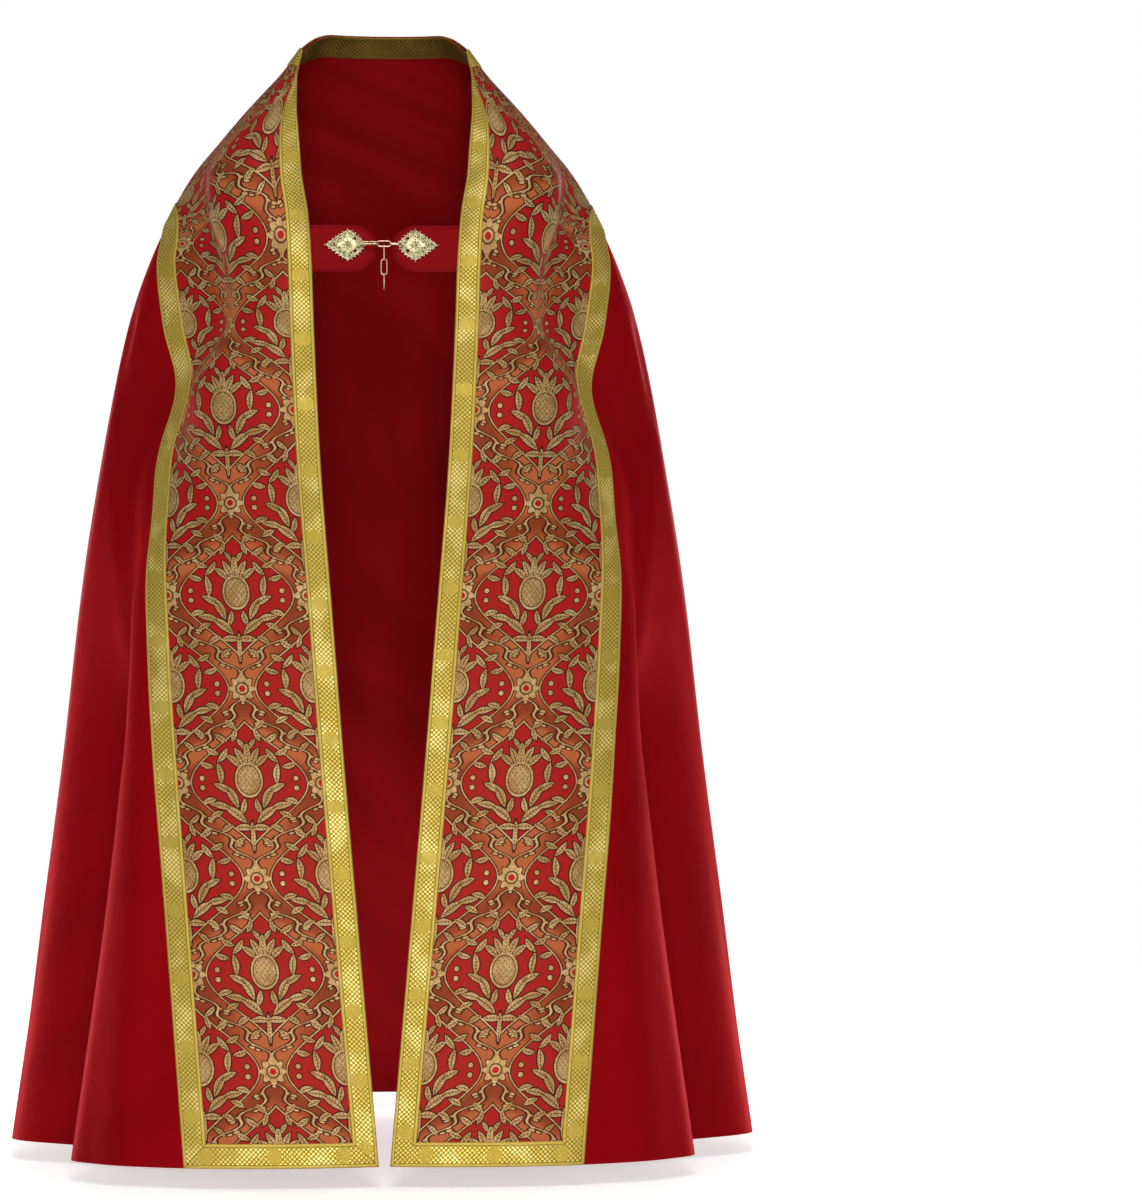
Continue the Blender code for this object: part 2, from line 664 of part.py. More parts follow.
def clasp_frame():
    """The matrix from the clasp's own (x, t, n) to the world, and where the tabs' faces lie in it."""

    levels = np.linspace(NECK, 1, 200)
    drops = [-on_cloth(0, v)[2] for v in levels]

    def edge(shift):
        return on_cloth(0, np.interp(CLASP_DROP + shift, drops, levels))

    high, low = edge(-TAB_TALL / 2), edge(TAB_TALL / 2)
    slope = low - high
    down = np.array((0, slope[1], slope[2])) / math.hypot(slope[1], slope[2])
    out = np.array((0, down[2], -down[1]))
    origin = np.array((0, *edge(0)[1:]))
    axes = np.column_stack([(1, 0, 0), down, out])
    seat = math.inf
    for v in np.linspace(*CLASP_LEVELS, 40):
        curve, _ = section(v)
        near = curve[(curve[:, 0] < TAB_ROOT + 5 * MM) & (curve[:, 1] < 0)]
        local = (near - origin) @ axes
        local = local[np.abs(local[:, 1] - TAB_SHIFT) < TAB_TALL / 2 + 2 * MM]
        if len(local):
            seat = min(seat, local[:, 2].min())
    face = seat - WALL * SLANT - SEAM
    matrix = Matrix.Identity(4)
    for column_index in range(3):
        for row in range(3):
            matrix[row][column_index] = axes[row, column_index]
    matrix.translation = Vector(origin + axes[:, 2] * face)
    return matrix


def placed(made, matrix):
    made.data.transform(matrix)
    if matrix.determinant() < 0:
        made.data.flip_normals()
    return made


def make_tab(name, way, matrix, satin):
    """A flat tab with a round inner end, sewn behind one front edge."""
    radius = TAB_TALL / 2
    outline = [(TAB_ROOT, -radius), (TAB_ROOT, radius)]
    for a in np.linspace(math.pi / 2, -math.pi / 2, TAB_ROUND_STEPS + 1):
        outline.append((TAB_END + radius * (1 - math.cos(a)), radius * math.sin(a)))
    points = [(way * x, t + TAB_SHIFT, n) for n in (-TAB_THICK, 0) for x, t in outline]
    count = len(outline)
    faces = [tuple(range(count)), tuple(reversed(range(count, 2 * count)))]
    faces += [(i, i + count, (i + 1) % count + count, (i + 1) % count) for i in range(count)]
    return outward(placed(add_object(name, points, faces, satin), matrix))


def outward(made):
    bm = bmesh.new()
    bm.from_mesh(made.data)
    bmesh.ops.recalc_face_normals(bm, faces=bm.faces)
    bm.to_mesh(made.data)
    bm.free()
    return made


def ring_tube(name, path, radius, finish, ups=None):
    """A closed wire round path, a closed list of points. A path that isn't flat gives its normals."""
    path = np.array(path, float)
    ahead = np.roll(path, -1, axis=0) - np.roll(path, 1, axis=0)
    ahead /= np.linalg.norm(ahead, axis=1)[:, None]
    if ups is None:
        ups = [np.linalg.svd(path - path.mean(axis=0))[2][2]] * len(path)
    points, faces, count = [], [], len(path)
    for place, way, normal in zip(path, ahead, ups):
        side = np.cross(way, normal)
        side /= np.linalg.norm(side)
        up = np.cross(side, way)
        for k in range(WIRE_SIDES):
            angle = 2 * math.pi * k / WIRE_SIDES
            points.append(place + radius * (math.cos(angle) * side + math.sin(angle) * up))
    for i in range(count):
        for k in range(WIRE_SIDES):
            j, m = (i + 1) % count, (k + 1) % WIRE_SIDES
            faces.append((i * WIRE_SIDES + k, j * WIRE_SIDES + k,
                          j * WIRE_SIDES + m, i * WIRE_SIDES + m))  # fmt: skip
    return outward(add_object(name, points, faces, finish))


def loop(length):
    """A link's centre line in its own plane: two straight sides and round ends."""
    radius = LINK_WIDTH / 2 - WIRE
    straight_half = length / 2 - WIRE - radius
    points = []
    for start, x in ((-math.pi / 2, straight_half), (math.pi / 2, -straight_half)):
        for k in range(LINK_STEPS + 1):
            angle = start + math.pi * k / LINK_STEPS
            points.append((x + radius * math.cos(angle), radius * math.sin(angle)))
    return points


def make_link(name, centre, along, across, length, metal):
    centre, along, across = (np.array(part, float) for part in (centre, along, across))
    path = [centre + a * along + b * across for a, b in loop(length)]
    return ring_tube(name, path, WIRE, metal)


def plate_outline(way):
    """A pointed diamond with thorns, right half first, in (x, t); its chain leaves towards way."""
    points = []
    for k in range(2 * THORNS):
        angle = math.pi * k / THORNS
        cosine, sine = math.cos(angle), math.sin(angle)
        inner = cosine * way > 0
        power, half_long = (INNER_POWER, PLATE_INNER) if inner else (OUTER_POWER, PLATE_OUTER)
        reach = (abs(cosine) ** power + abs(sine) ** power) ** (-1 / power)
        out = THORN if k % 2 == 0 else 0
        points.append(
            ((half_long * reach + out) * cosine, (PLATE_HALF_TALL * reach + out) * sine)
        )
    return points


def cutter(name, x, t, radius, tall=20 * MM):
    bpy.ops.mesh.primitive_cylinder_add(vertices=6, radius=radius, depth=tall, location=(x, t, 0))
    made = bpy.context.object
    made.name = name
    made.hide_render = True
    made.display_type = "WIRE"
    return made


def boolean(made, other, operation):
    step = made.modifiers.new(operation.title(), "BOOLEAN")
    step.operation = operation
    step.object = other
    step.solver = "EXACT"


def make_plate(name, centre_x, way, matrix, metal, extra):
    """A domed, pierced plate, its chain leaving towards way, with the wire part `extra` fused to it."""
    outline = plate_outline(way)
    count = len(outline)
    rings = [(1.0, SEAM), (1.0, SEAM + PLATE_EDGE), (0.62, 0.8 * PLATE_CROWN), (0.25, PLATE_CROWN)]
    points = [(x * share, t * share, n) for share, n in rings for x, t in outline]
    points.append((0, 0, PLATE_CROWN + SEAM))
    faces = [tuple(range(count))]
    for r in range(len(rings) - 1):
        for i in range(count):
            a, b = r * count + i, r * count + (i + 1) % count
            faces.append((a, b, b + count, a + count))
    top = (len(rings) - 1) * count
    faces += [(top + i, top + (i + 1) % count, len(points) - 1) for i in range(count)]
    plate = outward(add_object(name, points, faces, metal))
    plate.data.transform(Matrix.Translation((centre_x, 0, 0)))
    for k, (x, t) in enumerate(PIERCED_AT):
        hole = cutter(f"{name}_cut_{k}", centre_x + way * x * MM, t * MM, PIERCING)
        placed(hole, matrix @ Matrix.Translation(hole.location))
        hole.location = (0, 0, 0)
        boolean(plate, hole, "DIFFERENCE")
    placed(plate, matrix)
    for piece in extra:
        placed(piece, matrix)
        piece.hide_render = True
        piece.display_type = "WIRE"
        boolean(plate, piece, "UNION")
    return plate


def post(name, x, low, high, metal):
    """A short round post that carries the chain in front of a plate."""
    bpy.ops.mesh.primitive_cylinder_add(vertices=8, radius=POST, depth=high - low)
    made = bpy.context.object
    made.name = name
    made.data.transform(Matrix.Translation((x, 0, (low + high) / 2)))
    made.data.materials.append(metal)
    return made


def hook_path(wire_x):
    """The hook's centre line, a narrow loop bent round the centre link's end, and its normals."""
    flat_run = wire_x - HOOK_START_X
    total = flat_run + math.pi * HOOK_BEND * HOOK_WRAP
    half = HOOK_HALF - WIRE
    stations = [0, flat_run / 2, *np.linspace(flat_run, total, 7)]
    points, normals = [], []
    for way, runs in ((1, stations), (-1, reversed(stations))):
        for run in runs:
            angle = max(run - flat_run, 0) / HOOK_BEND
            x = min(HOOK_START_X + run, wire_x) + HOOK_BEND * math.sin(angle)
            points.append((x, way * half, CHAIN_OUT + HOOK_BEND * math.cos(angle)))
            normals.append((math.sin(angle), 0, math.cos(angle)))
    return points, normals


def make_clasp(satin, gilt, rosy):
    matrix = clasp_frame()
    make_tab("clasp_tab_right", 1, matrix, satin)
    make_tab("clasp_tab_left", -1, matrix, satin)

    link_end = CENTRE_LINK_X - CENTRE_LINK_LONG / 2 + WIRE
    path, normals = hook_path(link_end)
    hook = ring_tube("hook_wire", path, WIRE, gilt, normals)
    hook_top = CHAIN_OUT + HOOK_BEND + WIRE / 3
    hook_post = post("hook_post", HOOK_START_X + WIRE / 2, PLATE_EDGE, hook_top, gilt)
    make_plate("clasp_plate_left", LEFT_PLATE_X, 1, matrix, gilt, [hook_post, hook])

    turns = np.linspace(0, 2 * math.pi, EYE_STEPS, endpoint=False)
    eye_path = [
        (EYE_X + EYE_RADIUS * math.cos(a), EYE_RADIUS * math.sin(a), CHAIN_OUT) for a in turns
    ]
    eye = ring_tube("eye_wire", eye_path, WIRE, gilt)
    eye_post = post("eye_post", EYE_X + EYE_RADIUS, PLATE_EDGE, CHAIN_OUT + WIRE / 3, gilt)
    make_plate("clasp_plate_right", RIGHT_PLATE_X, -1, matrix, gilt, [eye_post, eye])

    level = (0, 1, 0)
    tilted = (0, math.cos(RIGHT_LINK_TILT), math.sin(RIGHT_LINK_TILT))
    for name, x, across, length in (
        ("link_centre", CENTRE_LINK_X, level, CENTRE_LINK_LONG),
        ("link_right", RIGHT_LINK_X, tilted, RIGHT_LINK_LONG),
    ):
        placed(make_link(name, (x, 0, CHAIN_OUT), (1, 0, 0), across, length, rosy), matrix)
    make_spare_links(matrix, rosy)


def make_spare_links(matrix, metal):
    """Three spare links that hang from the centre link's lower wire, each on its own hinge."""
    hang = matrix @ Vector((CENTRE_LINK_X, LINK_WIDTH / 2 - WIRE, CHAIN_OUT))
    side, forward = (1, 0, 0), (0, 1, 0)
    above = None
    for name, across in (("link_a", forward), ("link_b", side), ("link_c", forward)):
        hinge = bpy.data.objects.new(f"{name}_hinge", None)
        hinge.parent = above
        hinge.location = hang if above is None else hang - above_at
        bpy.context.scene.collection.objects.link(hinge)
        middle = 3 * WIRE + SEAM - SPARE_LINK_LONG / 2
        link = make_link(name, (0, 0, middle), (0, 0, 1), across, SPARE_LINK_LONG, metal)
        link.parent = hinge
        above, above_at = hinge, hang
        hang = hang + Vector((0, 0, middle - SPARE_LINK_LONG / 2 + WIRE))


def main():
    for existing in list(bpy.data.objects):
        bpy.data.objects.remove(existing)
    satin = material("red satin", (0.35, 0.008, 0.012), 0.38)
    brocade = material("red and gold brocade", (0.36, 0.10, 0.03), 0.5)
    gold = material("gold galloon", (0.52, 0.38, 0.06), 0.4, 0.6)
    cord = material("gold fringe", (0.40, 0.28, 0.10), 0.5, 0.4)
    gilt = material("pale gilt", (0.70, 0.62, 0.33), 0.3, 1.0)
    rosy = material("rosy gilt", (0.75, 0.45, 0.32), 0.25, 1.0)
    grid = Grid()
    make_mantle(grid, satin)
    make_band_pieces(grid, brocade, gold)
    make_hood(grid, brocade, gold, cord)
    make_clasp(satin, gilt, rosy)


main()
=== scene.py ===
"""A full cope in its worn form: red satin, brocade orphreys and hood, gold galloon, fringe and a chain clasp.

The cloth is one drape, worked out from a table of levels. Every cloth piece is a thin shell on that drape,
so the trims follow its folds and creases. Metres throughout, +Z up, and the open front faces -Y.
"""

from __future__ import annotations

import ast
import logging
import math
import operator
import re
from dataclasses import dataclass, field
from enum import Enum, IntEnum
from typing import Any, NamedTuple

import bmesh
import bpy
import numpy as np
from mathutils import Matrix, Vector
from mathutils.bvhtree import BVHTree

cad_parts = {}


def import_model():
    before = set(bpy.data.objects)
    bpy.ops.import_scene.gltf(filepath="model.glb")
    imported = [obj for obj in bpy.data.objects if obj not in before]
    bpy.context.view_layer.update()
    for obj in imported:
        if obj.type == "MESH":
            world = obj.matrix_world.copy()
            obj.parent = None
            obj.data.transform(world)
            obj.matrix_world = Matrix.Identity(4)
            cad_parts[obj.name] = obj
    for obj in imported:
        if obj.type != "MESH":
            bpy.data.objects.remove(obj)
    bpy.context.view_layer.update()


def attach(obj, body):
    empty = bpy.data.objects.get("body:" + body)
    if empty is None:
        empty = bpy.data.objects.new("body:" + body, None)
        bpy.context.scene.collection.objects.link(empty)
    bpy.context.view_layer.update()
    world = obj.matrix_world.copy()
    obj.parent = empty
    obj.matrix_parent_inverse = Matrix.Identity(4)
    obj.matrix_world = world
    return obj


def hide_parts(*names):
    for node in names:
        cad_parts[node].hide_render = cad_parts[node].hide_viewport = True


LOG = logging.getLogger("cope")
MM = 0.001
Array = np.ndarray
Piece = bpy.types.Object
Finish = bpy.types.Material
Socket = bpy.types.NodeSocket


class Side(IntEnum):
    """A half of the garment, seen from the front."""

    RIGHT = 1
    LEFT = -1


class Held(Enum):
    """How a sheet of cloth is held up."""

    DRAPED = "draped"
    HUNG = "hung"
    STRETCHED = "stretched"


# The drape ---------------------------------------------------


class Level(NamedTuple):
    """One level of the hanging cloth, in millimetres. Drops are below the neck's highest point."""

    edge_drop: float
    side_drop: float
    back_drop: float
    edge_x: float
    edge_y: float
    half_width: float
    back_y: float
    swell: float
    front_handle: float
    side_handle: float
    front_fold: float
    fold_at: float
    fold_half: float
    back_fold: float


LEVELS = (
    Level(34, 28, 0, 107, -8, 108, 70, 0.00, 0.72, 0.72, 0, 0.50, 95, 0),
    Level(75, 62, 40, 113, -44, 133, 92, 0.05, 0.72, 0.72, 0, 0.50, 95, 0),
    Level(112, 100, 82, 113, -72, 167, 110, 0.12, 0.72, 0.72, 0, 0.50, 90, 0),
    Level(150, 140, 122, 111, -95, 203, 125, 0.22, 0.74, 0.70, 2, 0.48, 80, 0),
    Level(200, 190, 168, 107, -118, 246, 139, 0.36, 0.74, 0.68, 14, 0.47, 70, 0),
    Level(262, 245, 222, 97, -142, 276, 153, 0.38, 0.58, 0.60, 32, 0.51, 62, 0),
    Level(325, 310, 295, 92, -162, 306, 168, 0.26, 0.38, 0.51, 44, 0.58, 62, 0),
    Level(400, 390, 380, 89, -180, 333, 180, 0.17, 0.45, 0.38, 57, 0.61, 68, 0),
    Level(485, 480, 475, 85, -194, 352, 190, 0.11, 0.70, 0.33, 57, 0.55, 77, 0),
    Level(600, 600, 600, 78, -210, 371, 202, -0.15, 0.85, 0.47, 38, 0.56, 88, 34),
    Level(760, 760, 760, 65, -228, 393, 220, -0.11, 0.93, 0.72, 58, 0.50, 95, 108),
    Level(950, 950, 950, 50, -246, 414, 244, 0.09, 0.74, 0.72, 106, 0.49, 96, 134),
    Level(1180, 1180, 1180, 30, -270, 444, 282, 0.12, 0.72, 0.72, 108, 0.50, 95, 148),
    Level(1443, 1443, 1443, 7, -300, 482, 330, 0.12, 0.72, 0.72, 110, 0.50, 95, 155),
)
LENGTH = LEVELS[-1].side_drop * MM
NECK = LEVELS[0].side_drop * MM / LENGTH
SHOULDER = LEVELS[5].side_drop * MM / LENGTH
SIDE_DROPS = np.array([level.side_drop for level in LEVELS]) * MM

WALL = 2.0 * MM  # satin and its lining together
SEAM = 0.3 * MM
BROCADE = 1.2 * MM
GALLOON = 1.2 * MM
GALLOON_WIDTH = 30 * MM
ORPHREY_FACE = SEAM + BROCADE
GALLOON_LOW = ORPHREY_FACE + SEAM


def lerp(a: Any, b: Any, share: Any) -> Any:
    """The value this share of the way from a to b."""
    return a + (b - a) * share


def smooth(share: Any) -> Any:
    """A share eased at both ends, and held between 0 and 1."""
    share = np.clip(share, 0.0, 1.0)
    return share * share * (3 - 2 * share)


def bump(distance: Array) -> Array:
    """A rounded hump that is 1 at 0 and ends at -1 and 1."""
    return np.where(np.abs(distance) < 1, 0.5 + 0.5 * np.cos(math.pi * distance), 0.0)


def unit(vectors: Array) -> Array:
    """The vectors at length 1."""
    return vectors / np.maximum(np.linalg.norm(vectors, axis=-1, keepdims=True), 1e-12)


def paired(a: Any, b: Any) -> Array:
    """Two sets of numbers side by side in a new last axis, as (U, V) or (x, z)."""
    return np.stack(np.broadcast_arrays(a, b), axis=-1)


def circle(count: int) -> Array:
    """Angles evenly spaced round a whole turn."""
    return np.linspace(0, 2 * math.pi, count, endpoint=False)


def disc(count: int) -> Array:
    """Points evenly spaced round a circle of radius 1."""
    return paired(np.cos(circle(count)), np.sin(circle(count)))


def mirrored(right: Array, left: Array, axis: int = 0) -> Array:
    """The right half's rows up to the centre back, then the left half's from there down."""
    return np.concatenate([right, np.take(left, np.arange(left.shape[axis] - 2, -1, -1), axis)], axis)


def lengths(points: Array, axis: int = 0) -> Array:
    """Distances along one axis of a grid of points, from 0 at its first."""
    steps = np.linalg.norm(np.diff(points, axis=axis), axis=-1)
    return np.cumsum(np.insert(steps, 0, 0, axis=axis), axis=axis)


def bezier(points: tuple, shares: Array) -> Array:
    """Points on one cubic curve in the plane.

    Args:
        points: its two ends, with its two handles between them.
        shares: how far along it, from 0 to 1.

    Returns:
        The points.
    """
    a, b, c, d = (np.array(point, float) for point in points)
    s = shares[:, None]
    return (1 - s) ** 3 * a + 3 * s * (1 - s) ** 2 * b + 3 * s * s * (1 - s) * c + s**3 * d


def read(table: Array, rows: Any, columns: Any) -> Array:
    """Reads a grid of values at fractional rows and columns, straight between its points.

    Args:
        table: values, with rows first and columns second.
        rows: fractional row numbers, of any shape.
        columns: fractional column numbers, of the same shape.

    Returns:
        The values, one for each pair.
    """
    rows, columns = np.broadcast_arrays(np.asarray(rows, float), np.asarray(columns, float))
    i = np.clip(np.floor(rows).astype(int), 0, table.shape[0] - 2)
    j = np.clip(np.floor(columns).astype(int), 0, table.shape[1] - 2)
    s, t = np.clip(rows - i, 0, 1), np.clip(columns - j, 0, 1)
    if table.ndim > 2:
        s, t = s[..., None], t[..., None]
    low = lerp(table[i, j], table[i, j + 1], t)
    return lerp(low, lerp(table[i + 1, j], table[i + 1, j + 1], t), s)


@dataclass(frozen=True)
class Crease:
    """A soft trough (depth below 0) or ridge in the cloth, along a line between two places on the drape."""

    side: Side
    start: tuple[float, float]  # (u, v): round the drape, and down it
    end: tuple[float, float]
    depth_mm: float
    half_width_mm: float


CREASES = (
    Crease(Side.RIGHT, (0.52, 0.30), (0.50, 0.98), 5.0, 46),
    Crease(Side.LEFT, (0.52, 0.28), (0.51, 0.98), 5.5, 50),
    Crease(Side.RIGHT, (0.57, 0.42), (0.585, 1.0), -5.0, 40),
    Crease(Side.LEFT, (0.575, 0.50), (0.59, 1.0), -4.5, 44),
    Crease(Side.RIGHT, (0.20, 0.62), (0.20, 1.0), 4.0, 52),
    Crease(Side.LEFT, (0.21, 0.56), (0.205, 1.0), 4.5, 48),
    Crease(Side.LEFT, (0.455, 0.24), (0.40, 0.36), -4.0, 26),
    Crease(Side.RIGHT, (0.46, 0.25), (0.41, 0.38), -4.5, 28),
    Crease(Side.RIGHT, (0.33, 0.29), (0.36, 0.66), -9.0, 34),
    Crease(Side.LEFT, (0.34, 0.28), (0.355, 0.70), -8.0, 36),
    Crease(Side.RIGHT, (0.86, 0.52), (0.88, 1.0), -5.0, 60),
    Crease(Side.LEFT, (0.88, 0.58), (0.86, 1.0), -6.0, 55),
    Crease(Side.RIGHT, (0.94, 0.66), (0.95, 1.0), 5.0, 48),
    Crease(Side.LEFT, (0.96, 0.60), (0.94, 0.96), 4.0, 60),
)


@dataclass
class Drape:
    """The hanging cloth's outer face, as a grid of levels and places round them, right half only.

    A place on it is (u, v): u runs from 0 at the front edge by 0.5 at the side to 1 at the centre back,
    and v from NECK at the top to 1 at the hem.
    """

    levels: int = 560
    quarter_points: int = 241
    back_square: float = 0.68  # how far the back quarter's handles reach to its corner
    back_rise: float = 1.6  # how soon a level has come up to the back's height, past the side
    back_fold_at: float = 0.64  # share of the depth at which the back's side folds go in
    back_fold_half: float = 105 * MM
    back_plain: float = 60 * MM  # the back's fold fades out this far from the middle
    crease_steps: int = 24
    crease_fade: float = 0.3  # share of a crease's length over which it comes in
    creases: tuple[Crease, ...] = CREASES
    points: Array = field(init=False)
    normals: Array = field(init=False)
    runs: Array = field(init=False)

    def __post_init__(self) -> None:
        """Works out the tables of points, outward normals and lengths from the front edge."""
        self.around = np.linspace(0, 1, 2 * self.quarter_points - 1)
        self.points = np.array([self.section(v) for v in np.linspace(NECK, 1, self.levels)])
        self.points[:, -1, 0] = 0
        self.runs = lengths(self.points, axis=1)
        round_it, down = np.gradient(self.points, axis=1), np.gradient(self.points, axis=0)
        self.normals = unit(np.cross(down, round_it))
        self.normals[:, -1, 0] = 0
        self.lines = [self.crease_line(crease) for crease in self.creases]

    @staticmethod
    def eased(name: str, drop: float) -> float:
        """Reads a column of LEVELS on a smooth curve that doesn't overshoot.

        Args:
            name: the column.
            drop: metres below the neck's highest point.

        Returns:
            Its value there.
        """
        values = np.array([getattr(level, name) for level in LEVELS], float)
        steps = np.diff(SIDE_DROPS)
        slopes = np.diff(values) / steps
        tangents = np.zeros(len(values))
        tangents[0], tangents[-1] = slopes[0], slopes[-1]
        for i in range(1, len(values) - 1):
            if slopes[i - 1] * slopes[i] > 0:
                before, after = steps[i - 1], steps[i]
                weight = (2 * after + before, after + 2 * before)
                tangents[i] = sum(weight) / (weight[0] / slopes[i - 1] + weight[1] / slopes[i])
        k = int(np.clip(np.searchsorted(SIDE_DROPS, drop) - 1, 0, len(steps) - 1))
        s = (drop - SIDE_DROPS[k]) / steps[k]
        return (
            (1 + 2 * s) * (1 - s) ** 2 * values[k]
            + s * (1 - s) ** 2 * steps[k] * tangents[k]
            + s * s * (3 - 2 * s) * values[k + 1]
            + s * s * (s - 1) * steps[k] * tangents[k + 1]
        )

    def section(self, v: float) -> Array:
        """The right half's curve at one level.

        Args:
            v: the level.

        Returns:
            Its points, from the front edge to the centre back.
        """
        at = Level(**{name: self.eased(name, v * LENGTH) for name in Level._fields})
        edge_x, edge_y, width, back_y = (size * MM for size in (at.edge_x, at.edge_y, at.half_width, at.back_y))
        shares = np.linspace(0, 1, self.quarter_points)
        reach, square = at.front_handle * (width - edge_x), self.back_square
        handle = (edge_x + reach, edge_y - at.swell * reach)
        front = bezier(((edge_x, edge_y), handle, (width, at.side_handle * edge_y), (width, 0)), shares)
        back = bezier(((width, 0), (width, square * back_y), (square * width, back_y), (0, back_y)), shares)
        to_side = lerp(at.edge_drop, at.side_drop, smooth(shares))
        to_back = lerp(at.side_drop, at.back_drop, smooth(self.back_rise * shares[1:]))
        drops = np.concatenate([to_side, to_back])
        flat = np.concatenate([front, back[1:]])
        from_front = (flat[:, 1] - at.fold_at * edge_y) / (at.fold_half * MM)
        from_back = (flat[:, 1] - self.back_fold_at * back_y) / self.back_fold_half
        flat[:, 0] -= at.front_fold * MM * bump(from_front)
        flat[:, 0] -= at.back_fold * MM * bump(from_back) * smooth(flat[:, 0] / self.back_plain)
        return np.column_stack([flat, -drops * MM])

    def look_up(self, table: Array, u: Any, v: Any) -> Array:
        """Reads one of the drape's tables at places (u, v)."""
        rows = (np.asarray(v, float) - NECK) / (1 - NECK) * (self.levels - 1)
        return read(table, rows, np.asarray(u, float) * (table.shape[1] - 1))

    def crease_line(self, crease: Crease) -> Array:
        """The points of a crease's line, in the world."""
        u, v = np.linspace(crease.start, crease.end, self.crease_steps + 1).T
        return self.look_up(self.points, u, v) * (crease.side, 1, 1)

    def crease_lift(self, points: Array) -> Array:
        """How far the creases push points out.

        Args:
            points: the points, with a last axis of 3.

        Returns:
            Metres, one value for each.
        """
        flat = points.reshape(-1, 3)
        lift = np.zeros(len(flat))
        for crease, line in zip(self.creases, self.lines):
            half = crease.half_width_mm * MM
            low, high = line.min(axis=0) - half, line.max(axis=0) + half
            near = np.flatnonzero(((flat > low) & (flat < high)).all(axis=1))
            if not len(near):
                continue
            gap, along = np.full(len(near), np.inf), np.zeros(len(near))
            for i, (start, step) in enumerate(zip(line, np.diff(line, axis=0))):
                share = np.clip((flat[near] - start) @ step / (step @ step), 0, 1)
                apart = np.linalg.norm(flat[near] - start - share[:, None] * step, axis=1)
                closer = apart < gap
                gap[closer] = apart[closer]
                along[closer] = ((i + share) / (len(line) - 1))[closer]
            fade = smooth(along / self.crease_fade)
            if crease.end[1] < 1:
                fade = fade * smooth((1 - along) / self.crease_fade)
            lift[near] += crease.depth_mm * MM * bump(gap / half) * fade
        return lift.reshape(points.shape[:-1])

    def place(self, u: Any, v: Any, side: Side, lift: Any = 0.0) -> Array:
        """Points on the drape, or off its outer face.

        Args:
            u: places round the drape.
            v: places down it.
            side: the half that they are on.
            lift: metres out from the outer face, one value or one for each place.

        Returns:
            The points, with a last axis of 3.
        """
        points = self.look_up(self.points, u, v) * (side, 1, 1)
        normals = unit(self.look_up(self.normals, u, v)) * (side, 1, 1)
        out = np.asarray(lift, float) + self.crease_lift(points)
        return points + normals * np.broadcast_to(out, points.shape[:-1])[..., None]

    def both(self, u: Any, v: Any, lift: Any, axis: int = 0) -> Array:
        """Points on the right half, then the same ones back along the left half."""
        return mirrored(*(self.place(u, v, side, lift) for side in Side), axis)

    def share_across(self, distance: float, v: float) -> float:
        """Where a length of cloth from the front edge ends.

        Args:
            distance: the length in metres.
            v: the level.

        Returns:
            The u there.
        """
        row = (v - NECK) / (1 - NECK) * (self.levels - 1)
        runs = read(self.runs, np.full(len(self.around), row), np.arange(len(self.around)))
        return float(np.interp(distance, runs, self.around))


# Meshes ------------------------------------------------------


def make_mesh(points: Array, faces: list, finishes: list[Finish], uvs: Array | None = None, slots: Array | None = None,
              sharp: float = 60) -> Piece:
    """A smooth-shaded mesh object.

    Args:
        points: its vertices.
        faces: its faces, as lists of vertex numbers.
        finishes: its materials.
        uvs: a (U, V) for each vertex in metres of cloth, or None.
        slots: each face's material number, or None for all 0.
        sharp: degrees between faces over which an edge stays sharp.

    Returns:
        The object, linked to the scene.
    """
    mesh = bpy.data.meshes.new("piece")
    mesh.from_pydata(np.asarray(points).tolist(), [], faces)
    for finish in finishes:
        mesh.materials.append(finish)
    if slots is not None:
        mesh.polygons.foreach_set("material_index", np.asarray(slots, np.int32))
    if uvs is not None:
        corners = np.empty(len(mesh.loops), np.int32)
        mesh.loops.foreach_get("vertex_index", corners)
        layer = mesh.uv_layers.new(name="cloth")
        layer.data.foreach_set("uv", np.asarray(uvs, np.float32)[corners].ravel())
    mesh.shade_smooth()
    mesh.set_sharp_from_angle(angle=math.radians(sharp))
    made = bpy.data.objects.new("piece", mesh)
    bpy.context.scene.collection.objects.link(made)
    return made


def quads(index: Array) -> Array:
    """The four-sided faces between the rows and columns of a grid of vertex numbers."""
    return np.stack([index[:-1, :-1], index[:-1, 1:], index[1:, 1:], index[1:, :-1]], axis=-1)


def shell_faces(rows: int, columns: int) -> Array:
    """The faces of a closed thin shell, whose two grids of vertices are numbered one after the other.

    Args:
        rows: rows in each grid.
        columns: columns in each grid.

    Returns:
        The first grid's faces, the second's, and the rim's.
    """
    count = rows * columns
    index = np.arange(count).reshape(rows, columns)
    face = quads(index).reshape(-1, 4)
    edge = np.concatenate([index[0, :-1], index[:-1, -1], index[-1, :0:-1], index[:0:-1, 0]])
    after = np.roll(edge, -1)
    rim = np.stack([after, edge, edge + count, after + count], axis=-1)
    return np.concatenate([face, face[:, ::-1] + count, rim])


